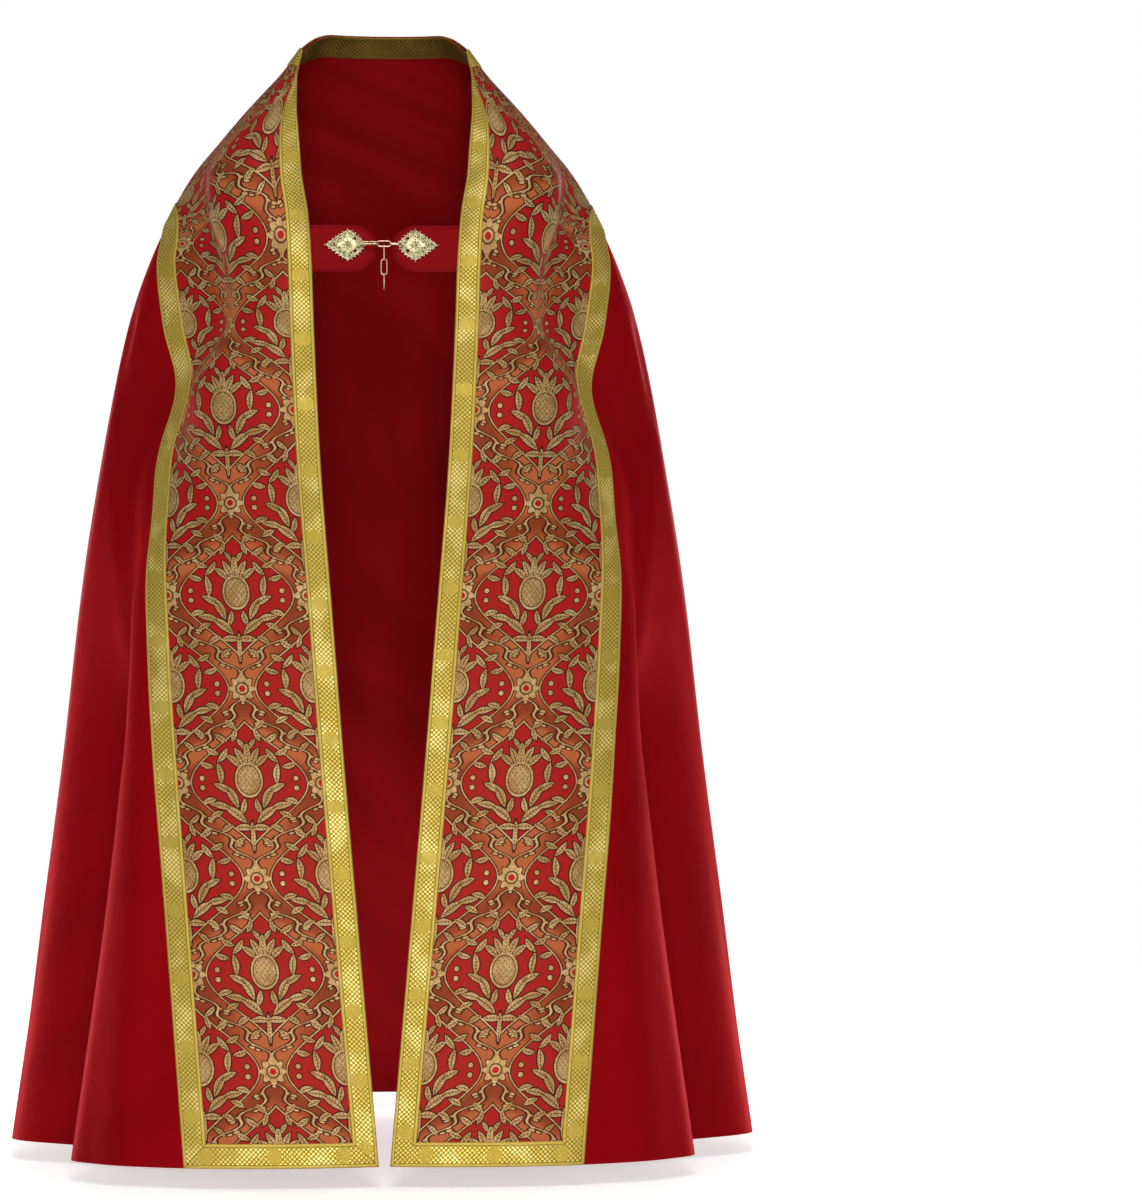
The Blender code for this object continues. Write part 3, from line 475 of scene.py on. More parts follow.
def make_shell(outer: Array, inner: Array, uvs: Array, finishes: list) -> Piece:
    """A closed thin shell between two grids of points.

    Args:
        outer: the face that shows, as rows and columns of points.
        inner: the face behind it, of the same shape.
        uvs: a (U, V) for each grid point.
        finishes: the material, and a second one for the inner face if it differs.

    Returns:
        The object.
    """
    rows, columns = outer.shape[:2]
    faces = shell_faces(rows, columns)
    front = (rows - 1) * (columns - 1)
    points = np.concatenate([outer.reshape(-1, 3), inner.reshape(-1, 3)])
    a, b, c = (points[faces[:front, k]] for k in range(3))
    ways = a - points[faces[:front, 0] + rows * columns]
    if np.einsum("ij,ij->", np.cross(b - a, c - a), ways) < 0:
        faces = faces[:, ::-1]
    slots = np.zeros(len(faces), np.int32)
    slots[front : 2 * front] = len(finishes) - 1
    return make_mesh(points, faces.tolist(), finishes, np.concatenate([uvs.reshape(-1, 2)] * 2), slots)


def ring_faces(rings: int, sides: int, closed: bool = False) -> list:
    """The faces of a tube whose rings of vertices are numbered in order.

    Args:
        rings: how many rings there are.
        sides: vertices in each ring.
        closed: whether the last ring joins the first, in place of two end caps.

    Returns:
        The faces.
    """
    index = np.arange(rings * sides).reshape(rings, sides)
    grid = np.pad(index, ((0, int(closed)), (0, 1)), mode="wrap")
    faces = quads(grid).reshape(-1, 4).tolist()
    return faces if closed else [*faces, index[0, ::-1].tolist(), index[-1].tolist()]


def tube(path: Array, radius: Any, sides: int, closed: bool) -> Array:
    """The points of a round tube along a path, ring by ring.

    Args:
        path: the points of its centre line.
        radius: its radius, one value or one for each point.
        sides: how many sides it has.
        closed: whether the path joins its own start.

    Returns:
        Its points.
    """
    count = len(path)
    ahead = unit(np.roll(path, -1, axis=0) - np.roll(path, 1, axis=0) if closed else np.gradient(path, axis=0))
    normal = np.zeros((count, 3))
    normal[0] = unit(np.cross(ahead[0], np.eye(3)[np.abs(ahead[0]).argmin()]))
    for i in range(1, count):
        carried = normal[i - 1] - ahead[i] * normal[i - 1].dot(ahead[i])
        normal[i] = carried / np.linalg.norm(carried)
    turn = 0.0
    if closed:
        end = normal[-1] - ahead[0] * normal[-1].dot(ahead[0])
        turn = math.atan2(np.cross(end, normal[0]).dot(ahead[0]), end.dot(normal[0]))
    angles = circle(sides)[None] + turn * (np.arange(count) / count)[:, None]
    side = np.cross(ahead, normal)
    radii = np.broadcast_to(np.asarray(radius, float), (count,))[:, None, None]
    around = np.cos(angles)[..., None] * normal[:, None] + np.sin(angles)[..., None] * side[:, None]
    return (path[:, None] + radii * around).reshape(-1, 3)


class Pile:
    """Gathers many small shapes into one mesh."""

    def __init__(self) -> None:
        """Starts empty."""
        self.points: list[Array] = []
        self.faces: list[list[int]] = []
        self.uvs: list[Array] = []
        self.count = 0

    def add(self, points: Array, faces: list, uvs: Array | None = None) -> None:
        """Adds a shape.

        Args:
            points: its vertices.
            faces: its faces, whose numbers count from 0.
            uvs: a (U, V) for each vertex, or None for zeros.
        """
        self.faces += [[i + self.count for i in face] for face in faces]
        self.points.append(np.asarray(points, float))
        self.uvs.append(np.zeros((len(points), 2)) if uvs is None else uvs)
        self.count += len(points)

    def wire(self, path: Any, radius: Any, sides: int, closed: bool = False) -> None:
        """Adds a tube, with its own length as U.

        Args:
            path: the points of its centre line.
            radius: its radius, one value or one for each point.
            sides: how many sides it has.
            closed: whether the path joins its own start.
        """
        path = np.asarray(path, float)
        along = np.repeat(lengths(path), sides)
        around = np.tile(np.arange(sides) / sides, len(path))
        uvs = np.column_stack([along, around])
        self.add(tube(path, radius, sides, closed), ring_faces(len(path), sides, closed), uvs)

    def bead(self, centre: Any, size: Any, rings: int, sides: int) -> None:
        """Adds a ball.

        Args:
            centre: its middle.
            size: its radius, or three radii for an ellipsoid.
            rings: how many bands of faces it has from pole to pole.
            sides: faces in each band.
        """
        points = [(0, 0, 1)]
        for tilt in np.linspace(0, math.pi, rings + 1)[1:-1]:
            wide, height = math.sin(tilt), math.cos(tilt)
            points += [(wide * math.cos(a), wide * math.sin(a), height) for a in circle(sides)]
        points.append((0, 0, -1))
        after = [(k + 1) % sides for k in range(sides)]
        faces = [[0, 1 + k, 1 + m] for k, m in enumerate(after)]
        for low in range(1, 1 + (rings - 2) * sides, sides):
            faces += [[low + k, low + sides + k, low + sides + m, low + m] for k, m in enumerate(after)]
        last, low = len(points) - 1, 1 + (rings - 2) * sides
        faces += [[last, low + m, low + k] for k, m in enumerate(after)]
        self.add(np.array(points) * size + np.asarray(centre, float), faces)

    def build(self, finishes: list, slots: Array | None = None, sharp: float = 60) -> Piece:
        """Makes the mesh.

        Args:
            finishes: its materials.
            slots: each face's material number, or None for all 0.
            sharp: degrees between faces over which an edge stays sharp.

        Returns:
            The object.
        """
        return make_mesh(np.concatenate(self.points), self.faces, finishes, np.concatenate(self.uvs), slots, sharp)


# Cloth pieces ------------------------------------------------


@dataclass
class Band:
    """Where the orphrey lies: rows of places across it, up a front edge and round the neck to the centre back."""

    drape: Drape
    width: float = 238 * MM
    spread: float = 14 * MM  # wider where it leans back over the shoulder
    spread_from: float = 470 * MM
    turn_drop: float = 300 * MM
    turn_reach: float = 0.12
    turn_steps: int = 15
    corner_u: float = 0.56  # where the row from the neck's corner meets the outer edge
    front_rows: int = 150
    edge_rows: int = 72
    neck_rows: int = 120
    columns: int = 61
    fine: int = 24  # points between two places of a path, when it is measured
    neck_steps: int = 24
    cover_levels: int = 60
    fade_u: float = 0.02  # how soon the mantle comes out from under the band, round the drape
    fade_drop: float = 8 * MM  # and down it
    places: Array = field(init=False)
    widths: Array = field(init=False)
    along: Array = field(init=False)

    def __post_init__(self) -> None:
        """Works out the table of places, each row's width, and the distance from the hem down each column."""
        self.turn = self.turn_drop / LENGTH
        rows = [((0, v), (self.end(v), v)) for v in np.linspace(1, self.turn, self.front_rows + 1)[:-1]]
        inner = self.spaced([(0, self.turn), (0, NECK)], self.edge_rows)
        inner += self.spaced([(0, NECK), (1, NECK)], self.neck_rows)[1:]
        path = self.outer_path()
        split = next(i for i, (u, _) in enumerate(path) if u >= self.corner_u)
        outer = self.spaced(path[: split + 1], self.edge_rows)
        outer += self.spaced(path[split:], self.neck_rows)[1:]
        rows += list(zip(inner, outer))
        shares = np.linspace(0, 1, self.columns)
        table, widths = [], []
        for start, end in rows:
            line = lerp(np.array(start, float), np.array(end, float), shares[:, None])
            run = self.run_of(line)
            table.append(np.column_stack([np.interp(shares * run[-1], run, line[:, k]) for k in range(2)]))
            widths.append(run[-1])
        self.places, self.widths = np.array(table), np.array(widths)
        self.along = self.run_of(self.places)
        self.corner_row = self.front_rows + self.edge_rows
        self.last_row = len(self.places) - 1
        self.rows_a_metre = self.front_rows / (LENGTH - self.turn_drop)

    def run_of(self, places: Array) -> Array:
        """Distances over the cloth along the first axis of places."""
        return lengths(self.drape.look_up(self.drape.points, places[..., 0], places[..., 1]))

    def spaced(self, path: list, count: int) -> list:
        """Places along a path, evenly spaced over the cloth.

        Args:
            path: the path's own places.
            count: how many steps to take along it.

        Returns:
            count + 1 places.
        """
        ends = np.array(path, float)
        steps = np.linspace(0, 1, self.fine)[:, None]
        line = np.concatenate([lerp(a, b, steps) for a, b in zip(ends, ends[1:])])
        run = self.run_of(line)
        wanted = np.linspace(0, run[-1], count + 1)
        return [(np.interp(w, run, line[:, 0]), np.interp(w, run, line[:, 1])) for w in wanted]

    def end(self, v: float) -> float:
        """The u of the band's outer edge at level v, on the front."""
        spread = smooth((self.spread_from - v * LENGTH) / (self.spread_from - self.turn_drop))
        return self.drape.share_across(self.width + self.spread * spread, v)

    def outer_path(self) -> list:
        """The band's outer edge above the front.

        Returns:
            Its places, from the turn on the shoulder to the centre back.
        """
        start, corner = np.array((self.end(self.turn), self.turn)), np.array((self.end(SHOULDER), SHOULDER))
        end, back = corner + np.array((self.turn_reach, 0)), np.array((1, SHOULDER))
        shares = np.linspace(0, 1, self.turn_steps + 1)
        rounded = [(1 - s) ** 2 * start + 2 * s * (1 - s) * corner + s * s * end for s in shares]
        straight = [lerp(end, back, i / self.neck_steps) for i in range(1, self.neck_steps + 1)]
        return [tuple(place) for place in rounded + straight]

    def covers(self, u: Array, v: Array) -> Array:
        """How far places lie under the band.

        Args:
            u: places round the drape.
            v: places down it.

        Returns:
            1 at those well under it, 0 at those clear of it.
        """
        rounded = np.array(self.outer_path())[self.turn_steps :: -1]
        levels = np.linspace(self.turn, 1, self.cover_levels)[1:]
        edge_v = np.concatenate([rounded[:, 1], levels])
        edge_u = np.concatenate([rounded[:, 0], [self.end(level) for level in levels]])
        beside = smooth((np.interp(v, edge_v, edge_u) - u) / self.fade_u)
        return np.maximum(beside, smooth((SHOULDER - v) * LENGTH / self.fade_drop))

    def spot(self, rows: Any, across: Any) -> tuple[Array, Array]:
        """The places (u, v) at fractional rows, this many metres from the inner edge.

        Args:
            rows: row numbers from the hem.
            across: metres from the inner edge, or from the outer edge where it is below 0 (-0.0 is the edge).

        Returns:
            The u and the v of each.
        """
        rows, across = np.broadcast_arrays(np.asarray(rows, float), np.asarray(across, float))
        share = across / np.interp(rows, np.arange(len(self.widths)), self.widths)
        share = np.where(np.signbit(across), 1 + share, share)
        spots = read(self.places, rows, share * (self.columns - 1))
        return spots[..., 0], spots[..., 1]

    def distance(self, rows: Any, column: int) -> Array:
        """Metres from the hem to these rows, down one column of the table."""
        return np.interp(rows, np.arange(len(self.along)), self.along[:, column])


@dataclass
class Mantle:
    """The half circle of satin, lined, that everything else is sewn to."""

    drape: Drape
    band: Band
    columns: int = 141  # round each half
    rows: int = 150
    crowding: float = 1.25  # above 1 the rows lie closer together near the neck
    sink: float = 0.9 * MM  # how far it is pressed in under the orphreys

    def build(self, satin: Finish, lining: Finish) -> Piece:
        """Makes the mantle.

        Args:
            satin: the outer face's finish.
            lining: the inner face's.

        Returns:
            The object.
        """
        levels = np.linspace(0, 1, self.rows)
        levels = lerp(NECK, 1, lerp(levels, levels**self.crowding, 0.5))
        u, v = np.meshgrid(np.linspace(0, 1, self.columns), levels)
        outer = self.drape.both(u, v, -self.sink * self.band.covers(u, v), axis=1)
        inner = self.drape.both(u, v, -WALL, axis=1)
        runs = self.drape.look_up(self.drape.runs, u, v)
        across = mirrored(runs, 2 * runs[:, -1:] - runs, axis=1)
        return make_shell(outer, inner, paired(across, mirrored(v, v, axis=1) * LENGTH), [satin, lining])


@dataclass
class Trims:
    """The orphreys and the galloon that binds them."""

    drape: Drape
    band: Band
    across: int = 41  # points across an orphrey
    mitre_rows: int = 14  # rows over which the fronts' galloon is cut back for its mitre
    hem_steps: int = 49
    neck_steps: int = 115
    neck_start: int = 6  # rows past the neck's corner
    back_steps: int = 30
    back_rows: int = 40
    profile: tuple = (0, 0.4, 1.2, 3, 8, 15, 22, 27, 28.8, 29.6, 30)  # mm across a galloon
    rim: tuple = (0.30, 0.72, 1, 0.97, 0.94, 0.96, 0.94, 0.97, 1, 0.72, 0.30)  # its thickness there

    def __post_init__(self) -> None:
        """Turns the profile into metres."""
        self.steps = np.array(self.profile) * MM
        self.rows = np.arange(self.band.last_row + 1)[:, None]

    def orphrey(self, side: Side, brocade: Finish) -> Piece:
        """Makes one half's brocade panel, from the hem up the front and round to the centre back.

        Args:
            side: the half that it is on.
            brocade: its finish.

        Returns:
            The object.
        """
        shares = np.linspace(0, 1, self.across)[None]
        spots = read(self.band.places, self.rows, shares * (self.band.columns - 1))
        gap = side * SEAM / 2 * smooth((self.rows - self.band.last_row + 3) / 3)
        inner, outer = (self.drape.place(spots[..., 0], spots[..., 1], side, lift) for lift in (SEAM, ORPHREY_FACE))
        for face in (inner, outer):
            face[..., 0] += gap
        middle = self.band.along[:, self.band.columns // 2][:, None]
        return make_shell(outer, inner, paired((shares - 0.5) * self.band.widths[:, None], middle), [brocade])

    def lifts(self, low: float, way: int = 1) -> tuple[Array, Array]:
        """A galloon's outer and inner faces, as metres off the drape at each point of its profile."""
        return low + way * GALLOON * np.array(self.rim), np.full(len(self.rim), low)

    def round_both(self, rows: Array, across: Array, lifts: tuple, column: int, gold: Finish) -> Piece:
        """Makes a galloon that runs round both halves.

        Args:
            rows: the band's rows that it passes.
            across: metres from the band's inner or outer edge, at each point of the profile.
            lifts: its two faces, as metres off the drape.
            column: the column of the band that its length is measured down.
            gold: its finish.

        Returns:
            The object.
        """
        u, v = self.band.spot(rows, across)
        run = self.band.distance(np.broadcast_to(rows, u.shape), column)
        outer, inner = (self.drape.both(u, v, lift[None]) for lift in lifts)
        return make_shell(outer, inner, paired(mirrored(run, 2 * run[-1:] - run), self.steps[None]), [gold])

    def border(self, outer_edge: bool, gold: Finish) -> Piece:
        """Makes the galloon round one edge of both orphreys, mitred at the hem.

        Args:
            outer_edge: whether it is the outer edge.
            gold: its finish.

        Returns:
            The object.
        """
        mitre = (self.steps[None] + SEAM) * self.band.rows_a_metre
        rows = self.rows + mitre * np.clip(1 - self.rows / self.mitre_rows, 0, 1)
        across = np.copysign(self.steps, -1.0 if outer_edge else 1.0)[None]
        column = self.band.columns - 1 if outer_edge else 0
        return self.round_both(rows, across, self.lifts(GALLOON_LOW), column, gold)

    def neck_lining(self, gold: Finish) -> Piece:
        """Makes the galloon that faces the neck edge inside."""
        rows = np.linspace(self.band.corner_row + self.neck_start, self.band.last_row, self.neck_steps)[:, None]
        return self.round_both(rows, self.steps[None], self.lifts(-WALL - SEAM, -1), 0, gold)

    def hem(self, side: Side, gold: Finish) -> Piece:
        """Makes the galloon across one orphrey's foot, between the two mitres.

        Args:
            side: the half that it is on.
            gold: its finish.

        Returns:
            The object.
        """
        steps = self.steps[None]
        across = lerp(steps + SEAM, self.band.widths[0] - steps - SEAM, np.linspace(0, 1, self.hem_steps)[:, None])
        u, v = self.band.spot(steps * self.band.rows_a_metre, across)
        outer, inner = (self.drape.place(u, v, side, lift[None]) for lift in self.lifts(GALLOON_LOW))
        return make_shell(outer, inner, paired(across, steps), [gold])

    def centre_back(self, gold: Finish) -> Piece:
        """Makes the galloon that covers the seam between the orphreys, between the other two.

        Args:
            gold: its finish.

        Returns:
            The object.
        """
        x = self.steps - GALLOON_WIDTH / 2
        ends = GALLOON_WIDTH + 2 * SEAM
        down = lerp(ends, self.band.widths[-1] - ends, np.linspace(0, 1, self.back_steps))[:, None]
        rows = np.linspace(self.band.last_row, self.band.last_row - self.back_rows, self.back_rows + 1)
        flat = np.abs(self.drape.look_up(self.drape.points, *self.band.spot(rows[None], down))[..., 0])
        u, v = self.band.spot(np.array([np.interp(np.abs(x), line, rows) for line in flat]), down)
        faces = []
        for lift in self.lifts(GALLOON_LOW):
            right, left = (self.drape.place(u, v, side, lift[None]) for side in Side)
            faces.append(np.where((x < 0)[None, :, None], left, right))
        return make_shell(*faces, paired(down, (x + GALLOON_WIDTH / 2)[None]), [gold])


@dataclass
class Hood:
    """The shield-shaped hood that hangs at the back, with its galloon and fringe."""

    drape: Drape
    half: float = 250 * MM
    floor: float = -680 * MM
    corner: float = 150 * MM
    corner_ease: float = 0.8
    wall: float = 1.8 * MM
    off_top: float = 2 * MM
    off_low: float = 9 * MM
    ease: float = 90 * MM
    folds: tuple = ((-0.085, 0.055, 2.2), (0.03, 0.045, 1.4), (0.125, 0.05, 2.4))  # x, half width, mm out
    fold_lean: float = 0.04  # how far each fold leans outward, for each metre down
    fold_ease: float = 0.3  # metres down over which the folds come in
    border_steps: tuple = (60, 48, 20)  # down the side, round the corner and along half the foot
    panel_steps: tuple = (1, 60, 24)
    panel_rows: int = 90
    strip: float = 4 * MM  # the woven heading that the strands hang from
    strip_over: tuple = (0, 0.5, 2, 3.6, 4)  # mm across it
    strip_out: tuple = (0.3, 1.3, 1.6, 1.3, 0.4)  # its thickness there, mm
    fringe: float = 38 * MM
    strands: int = 600
    seed: int = 11
    strand_radius: float = 0.95 * MM
    strand_sides: int = 6
    strand_steps: int = 15
    strand_twists: int = 7
    ply: float = 0.32  # how far the two plies stand out from the strand's radius
    straighten: float = 1.8  # how much of its sideways run a strand turns into a fall
    sag: float = 0.15
    flare: tuple = (0.22, 0.1)  # how far out it leans, and how much that varies
    uneven: float = 0.05  # share of its length that varies
    sway: float = 0.9 * MM
    bow: float = 0.8 * MM
    end_share: float = 0.97  # past this share of its length a strand is cut narrower
    tree_from: float = 0.5  # the part of the drape that the hood stands off from: u past this,
    tree_down: float = 0.62  # and v above this
    tree_rows: int = 160
    tree_columns: int = 120  # on each half
    top_from: float = 0.3
    top_points: int = 300

    def __post_init__(self) -> None:
        """Makes a tree of the mantle's back to stand off from."""
        down = np.linspace(NECK, self.tree_down, self.tree_rows)
        u, v = np.meshgrid(np.linspace(self.tree_from, 1, self.tree_columns), down)
        points = np.concatenate([self.drape.place(u, v, side) for side in Side], axis=1).reshape(-1, 3)
        grid = quads(np.arange(len(points)).reshape(self.tree_rows, -1))
        faces = np.delete(grid, self.tree_columns - 1, axis=1).reshape(-1, 4)
        self.tree = BVHTree.FromPolygons([Vector(p) for p in points], faces.tolist())
        top = self.drape.look_up(self.drape.points, np.linspace(self.top_from, 1, self.top_points), SHOULDER)
        top = top[top[:, 1] > 0]
        self.top = top[np.argsort(top[:, 0])]

    def top_z(self, x: Any) -> Array:
        """The height of the hood's upper edge, under the band's galloon."""
        return np.interp(np.abs(x), self.top[:, 0], self.top[:, 2]) - SEAM

    def stand(self, flat: Array) -> Array:
        """Points of the hood's inner face.

        Args:
            flat: their (x, z), with any axes before the last.

        Returns:
            The points, with a last axis of 3.
        """
        made = []
        for x, z in flat.reshape(-1, 2):
            hit, out, _, _ = self.tree.ray_cast(Vector((x, 1, z)), Vector((0, -1, 0)))
            down = float(self.top_z(x)) - z
            off = lerp(self.off_top, self.off_low, float(smooth(down / self.ease)))
            fold = sum(
                size * MM * float(bump(np.array((x - at - self.fold_lean * down) / half)))
                for at, half, size in self.folds
            )
            fold *= float(smooth(down / self.fold_ease))
            made.append((x, hit.y + off / max(abs(out.y), 0.5) + fold, z))
        return np.array(made).reshape(*flat.shape[:-1], 3)

    def outline(self, inset: float, steps: tuple | None = None) -> Array:
        """The hood's edge, from its right top round to its left.

        Args:
            inset: how far inside the edge, in metres.
            steps: how many steps it takes, or None for border_steps.

        Returns:
            Its points as (x, z).
        """
        steps = steps or self.border_steps
        half, floor = self.half - inset, self.floor + inset
        radius = self.corner - inset * self.corner_ease
        low = floor + radius
        side = [(half, float(lerp(self.top_z(half), low, s))) for s in np.linspace(0, 1, steps[0] + 1)[:-1]]
        arc = [
            (half - radius + radius * math.cos(a), low - radius * math.sin(a))
            for a in np.linspace(0, math.pi / 2, steps[1] + 1)
        ]
        flat = [(x, floor) for x in np.linspace(half - radius, 0, steps[2] + 1)[1:]]
        right = np.array(side + arc + flat)
        return mirrored(right, right * (-1, 1))

    @staticmethod
    def outward(points: Array) -> Array:
        """Normals of a grid of points on the back, towards +Y."""
        normals = unit(np.cross(np.gradient(points, axis=0), np.gradient(points, axis=1)))
        return normals * np.sign(normals[..., 1:2])

    def panel(self, brocade: Finish, lining: Finish) -> Piece:
        """Makes the hood's own panel.

        Args:
            brocade: the outer face's finish.
            lining: the inner face's.

        Returns:
            The object.
        """
        border = self.outline(0, self.panel_steps)[1:-1]
        border = border[np.argsort(border[:, 0])]
        x = border[None, :, 0]
        flat = paired(x, lerp(self.top_z(x), border[None, :, 1], np.linspace(0, 1, self.panel_rows)[:, None]))
        inner = self.stand(flat)
        return make_shell(inner + self.outward(inner) * self.wall, inner, flat - (0, self.floor), [brocade, lining])

    def galloon(self, trims: Trims, gold: Finish) -> Piece:
        """Makes the galloon round the hood's edge.

        Args:
            trims: what its profile comes from.
            gold: its finish.

        Returns:
            The object.
        """
        base = self.stand(np.stack([self.outline(inset) for inset in trims.steps], axis=1))
        normals = self.outward(base)
        outer, inner = (base + normals * lift[None, :, None] for lift in trims.lifts(self.wall + SEAM))
        run = lengths(base[:, len(trims.steps) // 2])[:, None]
        return make_shell(outer, inner, paired(run, trims.steps[None]), [gold])

    def fringe_piece(self, cord: Finish) -> Piece:
        """Makes the twisted fringe with its woven heading, as one piece.

        Args:
            cord: its finish.

        Returns:
            The object.
        """
        base = self.stand(np.stack([self.outline(0), self.outline(1 * MM)], axis=1))
        normals, points = self.outward(base)[:, 0], base[:, 0]
        along = unit(np.gradient(points, axis=0))
        away = unit(np.cross(along, normals))
        away *= np.sign(away[0, 0])
        run = lengths(points)
        pile = Pile()
        over, thick = (np.array(values)[None, :, None] * MM for values in (self.strip_over, self.strip_out))
        back = points[:, None] + away[:, None] * (SEAM + over)
        front = back + normals[:, None] * thick
        uvs = paired(run[:, None], over[..., 0]).reshape(-1, 2)
        both = np.concatenate([front.reshape(-1, 3), back.reshape(-1, 3)])
        pile.add(both, shell_faces(*front.shape[:2])[:, ::-1].tolist(), np.concatenate([uvs, uvs]))
        dice = np.random.default_rng(self.seed)
        for at in (np.arange(self.strands) + 0.5) / self.strands * run[-1]:
            root, way, out, side = (
                np.array([np.interp(at, run, values[:, k]) for k in range(3)])
                for values in (points, away, normals, along)
            )
            self.strand(pile, root, way, out, side, dice)
        return pile.build([cord], sharp=70)

    def strand(self, pile: Pile, root: Array, way: Array, out: Array, side: Array, dice: Any) -> None:
        """Adds one twisted strand.

        Args:
            pile: what it is added to.
            root: where it leaves the hood's edge.
            way: the direction away from the hood.
            out: the direction away from the mantle.
            side: the direction along the edge.
            dice: the random numbers.
        """
        lean = self.flare[0] + self.flare[1] * dice.random()
        fall = way + np.array((0, 0, -self.straighten * abs(way[0]) - self.sag)) + lean * out
        fall = fall / np.linalg.norm(fall)
        length = self.fringe * (1 - self.uneven + self.uneven * dice.random())
        sway, bow = dice.normal(0, self.sway), dice.normal(0, self.bow)
        shares = np.linspace(0, 1, self.strand_steps)[:, None]
        start = root + way * (SEAM + 0.4 * self.strip) + out * 0.8 * MM
        path = start + lerp(way, fall, smooth(shares * 1.6)) * shares * length
        path = path + side * sway * shares**2 + out * bow * np.sin(math.pi * shares)
        turns = self.strand_twists * 2 * math.pi * shares + dice.random() * 6.28
        across = unit(np.cross(path[-1] - path[0], out))
        up = unit(np.cross(across, path[-1] - path[0]))
        angles = circle(self.strand_sides)[None]
        taper = np.where(shares > self.end_share, 0.7, 1.0)
        radius = self.strand_radius * (1 + self.ply * np.cos(2 * (angles - turns))) * taper
        ring = radius[..., None] * (np.cos(angles)[..., None] * up + np.sin(angles)[..., None] * across)
        around = np.arange(self.strand_sides) / self.strand_sides
        uvs = paired(shares * length, around[None]).reshape(-1, 2)
        pile.add((path[:, None] + ring).reshape(-1, 3), ring_faces(len(shares), self.strand_sides), uvs)


# Clasp -------------------------------------------------------

CLASP_FRAME = Matrix(
    ((1, 0, 0, 0), (0, -0.29593, -0.95521, -0.15134), (0, -0.95521, 0.29593, -0.30103), (0, 0, 0, 1))
)
"""From the clasp's own x across, t down the chest and n out from the tabs."""


@dataclass
class Tab:
    """A flat satin tab with a round end, piped and stitched, sewn behind one front edge."""

    tall: float = 64 * MM
    thick: float = 2.4 * MM
    end: float = 9 * MM
    root: float = 122 * MM
    shift: float = 3.8 * MM  # how far its middle lies below the plates'
    arc_points: int = 49
    side_steps: int = 24
    root_points: int = 9
    insets: tuple = (0, 0.25, 0.7, 1.3, 2.0, 2.6, 3.1, 3.6, 4.4, 5.2, 9, 16, 24, 30)  # mm in from its edge
    crown: tuple = (0.4, 0.78, 1, 1, 0.7, 0.3, 0.2, 0.3, 0.66, 0.8, 0.9, 0.95, 0.98, 1)

    def ring(self, inset: float) -> Array:
        """The tab's outline, this many metres inside its edge.

        Args:
            inset: how far inside.

        Returns:
            Its (x, t) points.
        """
        centre, r, root = self.end + self.tall / 2, self.tall / 2 - inset, self.root - inset
        turns = np.linspace(math.pi / 2, 3 * math.pi / 2, self.arc_points)
        arc = np.column_stack([centre + r * np.cos(turns), r * np.sin(turns)])
        low = paired(np.linspace(centre, root, self.side_steps + 1)[1:], -r)
        ends = paired(root, np.linspace(-r, r, self.root_points + 2)[1:-1])
        return np.concatenate([arc, low, ends, (low * (1, -1))[::-1]])

    def build(self, way: Side, satin: Finish) -> Piece:
        """Makes the tab on one side.

        Args:
            way: the side that it is sewn to.
            satin: its finish.

        Returns:
            The object.
        """
        rings = np.array([self.ring(inset) for inset in np.array(self.insets) * MM])
        index = np.arange(rings[..., 0].size).reshape(rings.shape[:2])
        face = quads(np.pad(index, ((0, 0), (0, 1)), mode="wrap")).reshape(-1, 4)
        after, under = np.roll(index[0], -1), index.size
        faces = [*face.tolist(), index[-1].tolist()]
        faces += [*(face[:, ::-1] + under).tolist(), (index[-1, ::-1] + under).tolist()]
        faces += np.stack([index[0] + under, after + under, after, index[0]], axis=-1).tolist()
        half, crown = self.thick / 2, np.array(self.crown)[:, None]
        lifts = [np.broadcast_to(-half + up * half * crown, index.shape) for up in (1, -1)]
        points = np.concatenate([np.dstack([rings, lift]).reshape(-1, 3) for lift in lifts])
        points = points * (way, 1, 1) + (0, self.shift, 0)
        if way > 0:
            faces = [face[::-1] for face in faces]
        made = make_mesh(points, faces, [satin], points[:, :2], sharp=40)
        made.data.transform(CLASP_FRAME)
        return made


